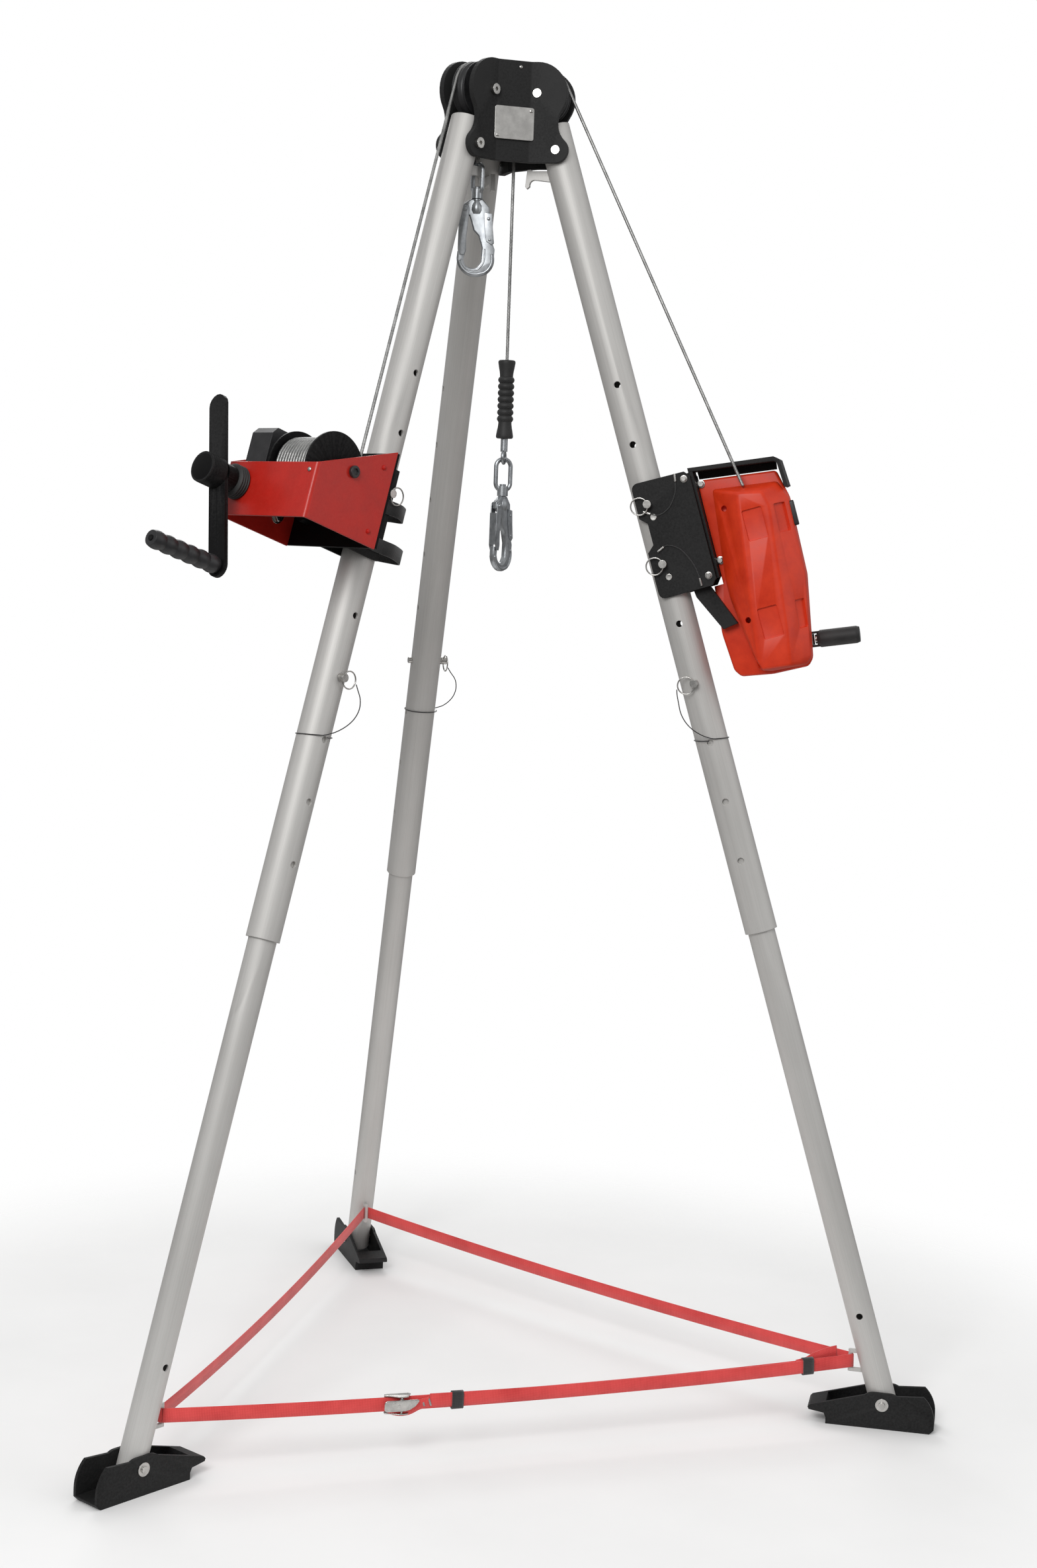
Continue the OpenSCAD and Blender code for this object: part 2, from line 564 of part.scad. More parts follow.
// Worm: one thread on its shaft, in mesh with the lowest gap of the wheel
thread_half = 0.13 * worm_lead;
thread_root = 0.30 * worm_lead;
worm_steps = 16;
worm_loops = floor(worm_l / worm_lead);
thread_ring = [[worm_core_r - 1, -thread_root], [worm_tip_r, -thread_half], [worm_tip_r, thread_half],
  [worm_core_r - 1, thread_root]];
module worm_thread() {
  n = worm_steps * worm_loops;
  pts = [for (i = [0:n]) let (a = 90 + 360 * (i - n / 2) / worm_steps) for (c = thread_ring)
    [c[1] + worm_lead * (i - n / 2) / worm_steps, c[0] * cos(a), c[0] * sin(a)]];
  walls = [for (i = [0:n - 1], k = [0:3]) let (a = 4 * i + k, b = 4 * i + (k + 1) % 4) each [[a, b, a + 4],
    [b, b + 4, a + 4]]];
  polyhedron(points = pts, faces = concat(walls, [[2, 1, 0], [3, 2, 0], [4 * n, 4 * n + 1, 4 * n + 2],
    [4 * n, 4 * n + 2, 4 * n + 3]]));
}
worm_out = winch_end + 84;
module worm_shaft() color([0.45, 0.45, 0.46]) at_winch() translate([0, wheel_y, worm_z]) {
  translate([winch_x + 1, 0, 0]) rod_x(worm_shaft_d, worm_out - winch_x - 1);
  translate([drum_x - worm_l / 2, 0, 0]) rod_x(2 * worm_core_r, worm_l);
  translate([drum_x, 0, 0]) worm_thread();
}

// Crank: sleeve and cap on the shaft with the flat arm between them
sleeve_l = 44;
arm_t = 8;
arm_w = 38;
arm_up = 150;
arm_x = winch_end + 1 + sleeve_l;
crank_rest = 20;
spindle_d = 10;
module at_crank() at_winch() translate([0, wheel_y, worm_z]) rotate([crank_rest, 0, 0]) children();
module crank_hub() color([0.06, 0.06, 0.06]) at_crank() difference() {
  union() {
    translate([winch_end + 1, 0, 0]) rod_x(46, sleeve_l);
    translate([winch_end + 1, 0, 0]) rod_x(54, 14);
    translate([arm_x + arm_t, 0, 0]) rod_x(54, 34);
  }
  translate([winch_end - 10, 0, 0]) rod_x(worm_shaft_d + 0.04, worm_out - winch_end + 10);
}
module crank_arm() color([0.07, 0.07, 0.07]) at_crank() {
  translate([arm_x, 0, 0]) rotate([90, 0, 90]) linear_extrude(arm_t) difference() {
    polygon(concat(arc([0, arm_up - arm_w / 2], arm_w / 2, 0, 180, 8),
      arc([0, -crank_reach], arm_w / 2, 180, 360, 12)));
    circle(d = worm_shaft_d + 0.04);
  }
  translate([arm_x + arm_t - 1, 0, -crank_reach]) rod_x(spindle_d, crank_grip_l + 3);
}
// Grip with finger bulges
grip_bulges = 6;
function grip_profile(l, r, n) = [for (i = [0:8 * n]) [r - 2.5 + 2.5 * abs(sin(180 * i / 8)),
  l * i / (8 * n)]];
module crank_grip() color([0.05, 0.05, 0.05]) at_crank() translate([arm_x + arm_t + 0.5, 0, -crank_reach])
  rotate([0, 90, 0])
  rotate_extrude() polygon(concat([[spindle_d / 2 + run, 0]], grip_profile(crank_grip_l, 16, grip_bulges),
    [[spindle_d / 2 + run, crank_grip_l]]));

// Hooks

// Oval link in the x-z plane with a barrel at its foot; the top of its opening is the origin
link_rod = 8;
barrel_d = 20;
barrel_h = 18;
stem_d = 10;
module oval_link(inner_w, inner_l) {
  r = (inner_w + link_rod) / 2;
  straight = inner_l - inner_w;
  translate([0, 0, -inner_w / 2]) rotate([90, 0, 0]) rotate_extrude(angle = 180)
    translate([r, 0]) circle(d = link_rod, $fn = 24);
  for (s = [-1, 1]) translate([s * r, 0, -inner_w / 2 - straight])
    cylinder(d = link_rod, h = straight, $fn = 24);
  translate([0, 0, -inner_w / 2 - straight]) rotate([-90, 0, 0]) rotate_extrude(angle = 180)
    translate([r, 0]) circle(d = link_rod, $fn = 24);
}
module swivel_link(inner_w, inner_l) difference() {
  union() {
    oval_link(inner_w, inner_l);
    translate([0, 0, -inner_l - barrel_h + 4]) cylinder(d = barrel_d, h = barrel_h);
  }
  translate([0, 0, -inner_l - barrel_h]) cylinder(d = stem_d + 2 * run, h = 4 * barrel_h);
}

// Snap hook: flat forged body that turns on its stem; the stem's shoulder is the origin
hook_t = 10;
hook_l = 140;
hook_k = hook_l / 120;
gate_pivot = hook_k * [-18, -16];
gate_pin_d = 5;
module hook_outline() polygon(hook_k * concat(
  [[-9, 0], [9, 0], [20, -12], [23, -46], [26, -66], [30, -76]],
  arc([3, -92], 27, 12, -60, 8),
  arc([0, -90], 29, -72, -178, 10),
  [[-28, -80], [-21, -80]],
  arc([-4, -92], 14, 160, 300, 8),
  [[9, -96], [10, -74], [4, -56], [-4, -48], [-8, -34], [-11, -26], [-24, -20], [-24, -10]]));
module snap_hook() {
  difference() {
    rotate([90, 0, 0]) linear_extrude(hook_t, center = true) hook_outline();
    translate([gate_pivot.x, 0, gate_pivot.y]) rod_y(gate_pin_d + 2 * run, 4 * hook_t);
  }
  translate([0, 0, -3]) cylinder(d = stem_d + 6, h = 3);
  translate([0, 0, -4]) cylinder(d = stem_d, h = barrel_h + 4 + clear + 1);
  translate([0, 0, barrel_h + clear]) cylinder(d = stem_d + 2, h = 4);
}
// Sheet gate that straddles the body and closes on the nose
gate_in = hook_t / 2 + clear;
gate_t = 2;
module snap_gate() {
  for (s = [-1, 1]) translate([0, s * (gate_in + gate_t / 2), 0]) rotate([90, 0, 0])
    linear_extrude(gate_t, center = true)
    polygon(concat(arc(gate_pivot, 8, 0, 180, 8),
      hook_k * [[-27.5, -60], [-27.5, -78], [-24, -86], [-14, -86], [-11, -60]]));
  translate([-27.5 * hook_k, -gate_in - gate_t, -77 * hook_k])
    cube([gate_t, 2 * (gate_in + gate_t), 50 * hook_k]);
  translate([gate_pivot.x, 0, gate_pivot.y]) rod_y(gate_pin_d, 2 * (gate_in + gate_t) + 2);
}

// Winch hook, parked with its link over the left leg's catch
winch_link_w = 15;
winch_link_l = 44;
park_r = hinge_r + catch_drop * sin(leg_lean) - catch_reach + 12.3;
park_z = catch_top - catch_drop * cos(leg_lean) + clear;
winch_hook_turn = 133;
module at_winch_hook(drop = 0) rotate([0, 0, LEFT])
  translate([park_r, 0, hinge_z + park_z - drop]) children();
hook_drop_w = winch_link_l + barrel_h - 4 + clear;
module winch_hook_eye() color([0.70, 0.71, 0.72]) at_winch_hook()
  rotate([0, 0, 90]) swivel_link(winch_link_w, winch_link_l);
module winch_hook() color([0.68, 0.70, 0.72]) at_winch_hook(hook_drop_w)
  rotate([0, 0, winch_hook_turn]) snap_hook();
module winch_hook_gate() color([0.62, 0.66, 0.70]) at_winch_hook(hook_drop_w)
  rotate([0, 0, winch_hook_turn]) snap_gate();

// Winch cable from the drum over the left pulley to the link
cable_start = wind[len(wind) - 1] + [0, 0, 0.6];
inner_x = axle_r - wrap_r;
winch_down = [[inner_x, -groove_y, axle_h - 10], [24, -groove_y, 64], [36, -6, 30], [50, -3, 4],
  [park_r - 2, -1, park_z + link_rod + 24], [park_r, 0, park_z + link_rod + 9],
  [park_r, 0, park_z + link_rod + 0.4]];
module winch_cable() color([0.66, 0.66, 0.66])
  tube([for (p = over_pulley(plane_point(cable_start), -groove_y, winch_down)) spin(LEFT, p)], cable_r,
    [-sin(LEFT), cos(LEFT), 0], 10);

// Fall arrester on the right leg

arrester_drop = pin_drop - 3 * hole_pitch;
module at_arrester() at_leg(RIGHT, arrester_drop) children();
shell_seam = 0.2;
// Outlines in the leg's plane, from the upper bracket pin
// Flat of the back shell against the bracket, and how far down it goes
shell_x = 92.6;
shell_step = 174;
front_base = [[118, -4], [100, -170], [100, -205], [124, -340], [140, -350], [205, -354], [216, -344],
  [244, -195], [248, -52], [234, -20]];
front_face = [[164, -24], [166, -118], [124, -342], [182, -348], [190, -293], [215, -61], [208, -34]];
back_base = [[shell_x, 20], [67, -262], [72, -332], [82, -346], [140, -356], [205, -358],
  [216, -346], [244, -195], [248, -52], [236, 0]];
back_face = [[104, 8], [84, -262], [84, -318], [140, -340], [198, -342], [228, -196], [234, -50],
  [226, -8]];
cable_in = [175, -arrester_front / 2, -14];
crank_shaft = 16;
crank_at = [150, 64, -304];
crank_slope = 8;

// Recesses on the sloping right side and screw holes on the left one
bevel_a = -39;
screw_holes = [[132, -44], [126, -250]];
module slab(outline, t) rotate([90, 0, 0]) linear_extrude(t) polygon(outline);
module arrester_front_shell() color([0.82, 0.20, 0.08]) at_arrester() difference() {
  hull() {
    translate([0, -shell_seam, 0]) slab(front_base, 18);
    translate([0, -arrester_front + 1, 0]) slab(front_face, 1);
  }
  for (p = [[164, -114], [147, -291]]) translate([p.x, -arrester_front - 1, p.y]) cube([36, 5, 56]);
  for (p = [[231, -86], [216, -262]]) translate([p.x, -arrester_front * 0.65, p.y]) rotate([0, 0, bevel_a])
    cube([8, 32, 52], center = true);
  for (p = screw_holes) translate([p.x, -arrester_front, p.y]) rod_y(11, 2 * (arrester_front - 14));
  translate([cable_in.x, cable_in.y, -70]) cylinder(d = cable_d + 5, h = 100);
}
module arrester_back_shell() color([0.80, 0.19, 0.08]) at_arrester() difference() {
  hull() {
    translate([0, 20, 0]) slab(back_base, 20 - shell_seam);
    translate([0, arrester_back, 0]) slab(back_face, 1);
  }
  translate([crank_at.x, arrester_back, crank_at.z]) rod_y(crank_shaft + 2 * run, 60);
  translate([0, 0, -shell_step]) cube([shell_x, 2 * arrester_back, 2 * shell_step]);
}

// Two plates on the leg, the channel between them and the arm under the housing
module bracket_plate() polygon(concat(arc([-10, 30], 12, 180, 90, 6),
  [[78, 40], [87, 30], [87, -160], [78, -172]],
  arc([-10, -161], 12, 270, 180, 6), [[-22, -86], [-9, -74], [-9, -34], [-22, -22]]));
module arrester_bracket() color([0.07, 0.07, 0.08]) at_arrester() difference() {
  union() {
    for (s = [-1, 1]) translate([0, s * (bracket_in + bracket_t / 2), 0]) rotate([90, 0, 0])
      linear_extrude(bracket_t, center = true) bracket_plate();
    translate([80, -bracket_in - 1, -160]) cube([7, 2 * bracket_in + 2, 190]);
    translate([0, 24, 0]) slab([[84, 37.6], [92, 36.5], [92, -160], [84, -160]], 48);
    translate([0, -0.6, 0]) slab([[39, -168], [41, -185], [74, -254], [102, -250], [70, -172], [87, -158],
      [87, -150], [80, -150], [66, -160]], 17);
  }
  for (d = [0, -hole_pitch]) translate([0, 0, d]) rod_y(hole_d, 4 * outer_d);
}
module bracket_pin(drop) color([0.76, 0.76, 0.75]) at_leg(RIGHT, drop) scale_y(-1) ring_pin(bracket_out);
module bracket_pin_upper() bracket_pin(arrester_drop);
module bracket_pin_lower() bracket_pin(arrester_drop + hole_pitch);

// Flat bar over the top of the housing, bent down at the outer end, with a flange along its back
module arrester_guard() color([0.05, 0.05, 0.05]) at_arrester() translate([0, 36, 0]) {
  slab([[84, 45], [240, 24], [249, 16], [252, -33], [245.5, -34], [243, 12], [238, 16], [84, 38]], 58);
  slab([[94, 37], [238, 16.5], [236, 3], [94, 23]], 6);
}

// Crank on the back of the housing, and its grip that folds out on a pin at the end of the arm
fold_pin_d = 6;
fold_eye = 14;
module at_arrester_crank() at_arrester() translate(crank_at) rotate([0, crank_slope, 0]) children();
module arrester_crank() color([0.55, 0.55, 0.55]) at_arrester_crank() difference() {
  union() {
    translate([0, -14, 0]) rod_y(crank_shaft, 60);
    rotate([90, 0, 0]) linear_extrude(8, center = true) polygon(concat(arc([0, 0], 16, 90, 270, 12),
      [[arrester_reach - 6, -10], [arrester_reach - 6, 10]]));
    translate([arrester_reach, 0, -10]) cylinder(d = fold_eye, h = 20);
  }
  translate([arrester_reach, 0, -20]) cylinder(d = fold_pin_d + 2 * run, h = 40);
}
module arrester_grip() color([0.05, 0.05, 0.05]) at_arrester_crank() translate([arrester_reach, 0, 0]) {
  for (s = [-1, 1]) translate([0, 0, s * (10 + clear + 2) - 2]) linear_extrude(4)
    polygon(concat(arc([0, 0], 7, 90, 270, 10), [[20, -7], [20, 7]]));
  translate([0, 0, -14]) cylinder(d = fold_pin_d, h = 28);
  rotate([0, 90, 0]) rotate_extrude() polygon([[0, 12], [12, 12], [16, 18], [16, 84], [14, 90], [0, 90]]);
}

// Arrester cable, bumper, link and hook
bumper_top = 1938;
bumper_l = 143;
bumper_r = 16;
bumper_ribs = 7;
drop_x = axle_r - wrap_r;
ferrule_lip = 6;
ferrule_z = bumper_top - bumper_l - ferrule_lip - 0.3;
module at_drop(z) rotate([0, 0, RIGHT]) translate([drop_x, groove_y, z]) children();
arrester_down = mix([drop_x, groove_y, axle_h - 30], [drop_x, groove_y, ferrule_z - hinge_z - 4], 12);
module arrester_cable() color([0.66, 0.66, 0.66])
  tube([for (p = over_pulley(plane_point(cable_in - [0, 0, arrester_drop]), groove_y,
    arrester_down)) spin(RIGHT, p)], cable_r, [-sin(RIGHT), cos(RIGHT), 0], 10);
// Rubber bumper with flared ends and ribs
flare_l = 30;
rib_l = (bumper_l - 2 * flare_l) / bumper_ribs;
module arrester_bumper() color([0.05, 0.05, 0.05]) at_drop(bumper_top - bumper_l) rotate_extrude()
  polygon(concat(
  [[cable_r + 0.3, 0], [bumper_r - 2, 0], [bumper_r, 4], [bumper_r - 1, 10], [12, flare_l]],
  [for (i = [0:bumper_ribs - 1], k = [1:4]) [12 + 3 * sin(45 * k), flare_l + rib_l * (i + k / 4)]],
  [[bumper_r - 1, bumper_l - 8], [bumper_r, bumper_l - 4], [bumper_r - 2, bumper_l],
    [cable_r + 0.3, bumper_l]]));
// Ferrule with its eye, and the oval link that hangs in it
eye_rod = 6;
eye_r = 11;
link_w = 20;
link_l = 50;
ferrule_l = 18;
link_top = ferrule_z - ferrule_l - 2 * eye_r + 4 + 0.4;
module arrester_link() color([0.72, 0.73, 0.74]) {
  at_drop(ferrule_z - ferrule_l) difference() {
    cylinder(d = cable_d + 7, h = ferrule_l + ferrule_lip);
    translate([0, 0, 10]) cylinder(d = cable_d + 0.4, h = 60);
  }
  at_drop(ferrule_z - ferrule_l - eye_r + 1) rotate([90, 0, 90]) rotate_extrude()
    translate([eye_r, 0]) circle(d = eye_rod, $fn = 24);
  at_drop(link_top) rotate([0, 0, 30]) swivel_link(link_w, link_l);
}
arrester_hook_turn = 73;
hook_drop_a = link_l + barrel_h - 4 + clear;
module at_arrester_hook() at_drop(link_top - hook_drop_a) rotate([0, 0, arrester_hook_turn]) children();
module arrester_hook() color([0.68, 0.70, 0.72]) at_arrester_hook() snap_hook();
module arrester_hook_gate() color([0.62, 0.66, 0.70]) at_arrester_hook() snap_gate();

// Webbing that ties the feet together

eye_z = foot_pivot_h + eye_up * cos(leg_lean);
eye_r_out = foot_r - eye_up * sin(leg_lean) - inner_d / 2 - eye_off;
// Rings of the band, corner by corner: middle of the bar or of the run, height and outward direction
strap_n = 12;
strap_turns = [RIGHT - 360, BACK, LEFT];
function bar_at(az) = [eye_r_out * cos(az), eye_r_out * sin(az)];
function sag_at(k, f) = eye_z - 4 * strap_sag[k] * f * (1 - f);
strap_rings = [for (k = [0:2]) let (az = strap_turns[k], a = bar_at(az), b = bar_at(az + 120)) each concat(
  [for (i = [0:6]) [a[0], a[1], eye_z, az - 60 + 20 * i]],
  [for (i = [1:strap_n - 1]) let (f = i / strap_n) [a[0] + (b[0] - a[0]) * f, a[1] + (b[1] - a[1]) * f,
    sag_at(k, f), az + 60]])];
function strap_point(q, off, up) = [q[0] + off * cos(q[3]), q[1] + off * sin(q[3]), q[2] + up];
module foot_strap() color([0.75, 0.12, 0.12]) {
  near = eye_bar / 2 + 0.4;
  n = len(strap_rings);
  polyhedron([for (q = strap_rings) each [strap_point(q, near, -web_w / 2),
    strap_point(q, near + web_t, -web_w / 2),
    strap_point(q, near + web_t, web_w / 2), strap_point(q, near, web_w / 2)]],
    [for (i = [0:n - 1], c = [0:3]) [i * 4 + c, i * 4 + (c + 1) % 4, ((i + 1) % n) * 4 + (c + 1) % 4,
      ((i + 1) % n) * 4 + c]]);
}
// Place on the front run of the strap, as a share of the way from the left eye to the right one
run_y = -eye_r_out * sin(30) - eye_bar / 2 - 0.4 - web_t / 2;
run_half = eye_r_out * cos(30);
buckle_f = 0.32;
function run_tilt(f) = atan(2 * strap_sag[2] * (1 - 2 * f) / run_half);
module at_strap(f) translate([run_half * (2 * f - 1), run_y, sag_at(2, f)])
  rotate([0, run_tilt(f), 0]) children();
module cam_buckle() color([0.72, 0.71, 0.70]) {
  buckle_frame();
  strap_keepers();
}
module buckle_frame() at_strap(buckle_f) difference() {
  union() {
    cube([44, web_t + 6, web_w + 8], center = true);
    for (s = [-1, 1]) translate([6, -7, s * (web_w / 2 + 2.5)]) cube([20, 12, 3], center = true);
  }
  cube([60, web_t + 0.8, web_w + 0.8], center = true);
  translate([6, -8.5, 0]) cylinder(d = 4 + 2 * run, h = 100, center = true);
}
module cam_lever() color([0.74, 0.73, 0.72]) at_strap(buckle_f) translate([6, -8.5, 0]) {
  cylinder(d = 4, h = web_w + 8, center = true);
  translate([-32, -4, -web_w / 2 + 1.5]) cube([34, 5, web_w - 3]);
}
module strap_keepers()
  for (f = [0.405, 0.93]) at_strap(f) difference() {
    cube([24, web_t + 4, web_w + 4], center = true);
    cube([30, web_t + 0.8, web_w + 0.8], center = true);
  }

head_plate_front();
head_plate_right();
head_plate_left();
hinge_bolts();
pulley_axles();
pulley_left();
pulley_right();
upper_tube_back();
upper_tube_left();
upper_tube_right();
catch_back();
catch_left();
catch_right();
lower_tube_back();
lower_tube_left();
lower_tube_right();
foot_back();
foot_left();
foot_right();
foot_pin_back();
foot_pin_left();
foot_pin_right();
lock_pin_back();
lock_pin_left();
lock_pin_right();
lanyard_back();
lanyard_left();
lanyard_right();
winch_cable();
arrester_cable();
winch_bracket();
winch_bracket_pin();
winch_straps();
winch_frame();
gear_cover();
drum();
drum_cable();
worm_wheel();
worm_shaft();
crank_hub();
crank_arm();
crank_grip();
arrester_bracket();
arrester_front_shell();
arrester_back_shell();
arrester_guard();
arrester_crank();
arrester_grip();
bracket_pin_upper();
bracket_pin_lower();
winch_hook_eye();
winch_hook();
winch_hook_gate();
arrester_bumper();
arrester_link();
arrester_hook();
arrester_hook_gate();
foot_strap();
cam_buckle();
cam_lever();
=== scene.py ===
"""Rescue tripod: finishes, wire ropes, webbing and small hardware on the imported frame."""

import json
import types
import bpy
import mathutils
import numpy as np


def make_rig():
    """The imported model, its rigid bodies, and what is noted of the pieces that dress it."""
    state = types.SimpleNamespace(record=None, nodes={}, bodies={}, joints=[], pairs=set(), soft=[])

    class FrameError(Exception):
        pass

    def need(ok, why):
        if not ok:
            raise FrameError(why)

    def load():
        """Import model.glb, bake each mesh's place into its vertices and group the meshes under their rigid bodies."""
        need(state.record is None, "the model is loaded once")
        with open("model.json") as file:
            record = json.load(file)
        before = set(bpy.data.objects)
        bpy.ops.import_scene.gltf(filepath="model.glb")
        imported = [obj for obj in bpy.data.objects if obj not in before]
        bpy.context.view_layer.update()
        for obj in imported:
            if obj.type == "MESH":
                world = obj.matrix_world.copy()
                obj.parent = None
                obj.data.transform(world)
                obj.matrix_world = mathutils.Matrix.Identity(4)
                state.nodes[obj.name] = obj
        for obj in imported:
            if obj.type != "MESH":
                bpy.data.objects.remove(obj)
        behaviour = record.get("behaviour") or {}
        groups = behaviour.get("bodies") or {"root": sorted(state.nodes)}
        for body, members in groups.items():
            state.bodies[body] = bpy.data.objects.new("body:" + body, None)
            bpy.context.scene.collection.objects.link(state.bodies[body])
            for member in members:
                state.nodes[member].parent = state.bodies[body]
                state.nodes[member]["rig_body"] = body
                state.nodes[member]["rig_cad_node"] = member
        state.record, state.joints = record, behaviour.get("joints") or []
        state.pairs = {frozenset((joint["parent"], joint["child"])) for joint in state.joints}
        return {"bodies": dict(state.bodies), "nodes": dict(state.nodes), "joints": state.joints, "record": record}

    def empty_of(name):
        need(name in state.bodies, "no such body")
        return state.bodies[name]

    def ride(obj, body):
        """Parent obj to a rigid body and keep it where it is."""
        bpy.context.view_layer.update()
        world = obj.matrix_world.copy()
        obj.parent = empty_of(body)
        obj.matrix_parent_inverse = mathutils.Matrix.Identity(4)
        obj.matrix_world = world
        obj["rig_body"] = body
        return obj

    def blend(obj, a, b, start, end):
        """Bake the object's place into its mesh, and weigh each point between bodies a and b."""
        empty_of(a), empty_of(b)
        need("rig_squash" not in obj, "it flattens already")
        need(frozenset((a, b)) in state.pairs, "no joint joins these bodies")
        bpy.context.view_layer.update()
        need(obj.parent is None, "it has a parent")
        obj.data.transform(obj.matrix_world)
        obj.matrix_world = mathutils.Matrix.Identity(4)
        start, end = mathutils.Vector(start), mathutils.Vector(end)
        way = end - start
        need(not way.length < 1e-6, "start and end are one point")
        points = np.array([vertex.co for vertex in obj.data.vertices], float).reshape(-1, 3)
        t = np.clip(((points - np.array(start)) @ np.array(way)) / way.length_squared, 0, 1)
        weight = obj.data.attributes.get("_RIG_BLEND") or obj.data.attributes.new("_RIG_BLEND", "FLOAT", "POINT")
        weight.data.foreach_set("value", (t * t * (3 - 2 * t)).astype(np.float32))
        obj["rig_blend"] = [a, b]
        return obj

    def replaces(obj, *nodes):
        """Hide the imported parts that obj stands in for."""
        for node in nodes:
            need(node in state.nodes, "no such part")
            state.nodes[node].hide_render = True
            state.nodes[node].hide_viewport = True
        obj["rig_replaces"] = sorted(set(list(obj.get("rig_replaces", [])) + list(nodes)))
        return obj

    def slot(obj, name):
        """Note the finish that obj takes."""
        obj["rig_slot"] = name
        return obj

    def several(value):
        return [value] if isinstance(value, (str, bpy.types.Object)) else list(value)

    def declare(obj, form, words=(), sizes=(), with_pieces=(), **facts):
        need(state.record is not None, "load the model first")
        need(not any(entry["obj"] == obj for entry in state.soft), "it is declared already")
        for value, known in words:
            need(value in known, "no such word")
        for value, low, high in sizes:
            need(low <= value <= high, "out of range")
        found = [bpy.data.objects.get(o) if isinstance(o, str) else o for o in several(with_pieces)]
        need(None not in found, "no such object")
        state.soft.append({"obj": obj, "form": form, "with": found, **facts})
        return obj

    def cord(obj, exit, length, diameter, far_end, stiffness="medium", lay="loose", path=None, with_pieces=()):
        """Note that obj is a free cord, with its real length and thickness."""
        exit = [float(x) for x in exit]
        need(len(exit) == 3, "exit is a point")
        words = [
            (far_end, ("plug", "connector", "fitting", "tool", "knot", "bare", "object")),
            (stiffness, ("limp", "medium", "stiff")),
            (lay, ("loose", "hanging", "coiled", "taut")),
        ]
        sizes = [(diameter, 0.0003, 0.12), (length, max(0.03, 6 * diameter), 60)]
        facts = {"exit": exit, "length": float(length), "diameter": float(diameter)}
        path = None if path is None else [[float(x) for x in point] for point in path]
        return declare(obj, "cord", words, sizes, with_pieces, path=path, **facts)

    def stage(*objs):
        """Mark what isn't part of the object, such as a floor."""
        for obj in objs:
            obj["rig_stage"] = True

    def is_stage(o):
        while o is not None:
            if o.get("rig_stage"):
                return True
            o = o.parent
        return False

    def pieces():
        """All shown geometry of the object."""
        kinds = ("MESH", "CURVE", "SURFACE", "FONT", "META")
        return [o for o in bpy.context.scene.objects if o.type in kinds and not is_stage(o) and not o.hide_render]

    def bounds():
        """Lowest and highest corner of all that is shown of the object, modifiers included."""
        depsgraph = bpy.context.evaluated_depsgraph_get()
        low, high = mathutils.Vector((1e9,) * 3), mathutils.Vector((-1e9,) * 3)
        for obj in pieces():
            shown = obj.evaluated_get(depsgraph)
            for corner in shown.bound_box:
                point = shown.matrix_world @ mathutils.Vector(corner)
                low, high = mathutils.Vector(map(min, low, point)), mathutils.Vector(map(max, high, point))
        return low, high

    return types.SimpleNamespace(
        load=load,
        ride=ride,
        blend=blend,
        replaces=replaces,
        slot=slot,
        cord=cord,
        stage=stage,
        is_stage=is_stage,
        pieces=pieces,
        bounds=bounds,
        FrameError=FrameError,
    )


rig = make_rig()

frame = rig.load()

import json
import logging
import math
from dataclasses import dataclass
from enum import Enum
from typing import Callable, Iterable, Sequence

import bmesh
import bpy
from mathutils import Matrix, Vector

Node = bpy.types.Node
Piece = bpy.types.Object
Material = bpy.types.Material
Pair = tuple[float, float]
Triple = tuple[float, float, float]
Points = Sequence[Pair]
Outline = list[Pair]
Profile = tuple[Pair, ...]
Route = tuple[Triple, ...]

LOG = logging.getLogger("tripod")
MM = 0.001
CAD_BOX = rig.bounds()


class Leg(Enum):
    """The three legs by their direction round the head, in degrees."""

    BACK = 90.0
    LEFT = 210.0
    RIGHT = 330.0

    @property
    def body(self) -> str:
        """Name of the leg's body in the frame."""
        return f"leg_{self.name.lower()}"


class Coat(Enum):
    """Record slots that new pieces take their finish from."""

    BLACK = "black_paint"
    ZINC = "zinc_steel"
    FORGED = "forged_steel"
    ROPE = "cable_steel"
    TUBE = "tube_aluminium"
    PLASTIC = "black_plastic"
    RUBBER = "black_rubber"
    BLACK_WEB = "black_web"
    RED = "red_paint"
    ORANGE = "orange_paint"
    RED_WEB = "red_web"
    BRONZE = "bronze"


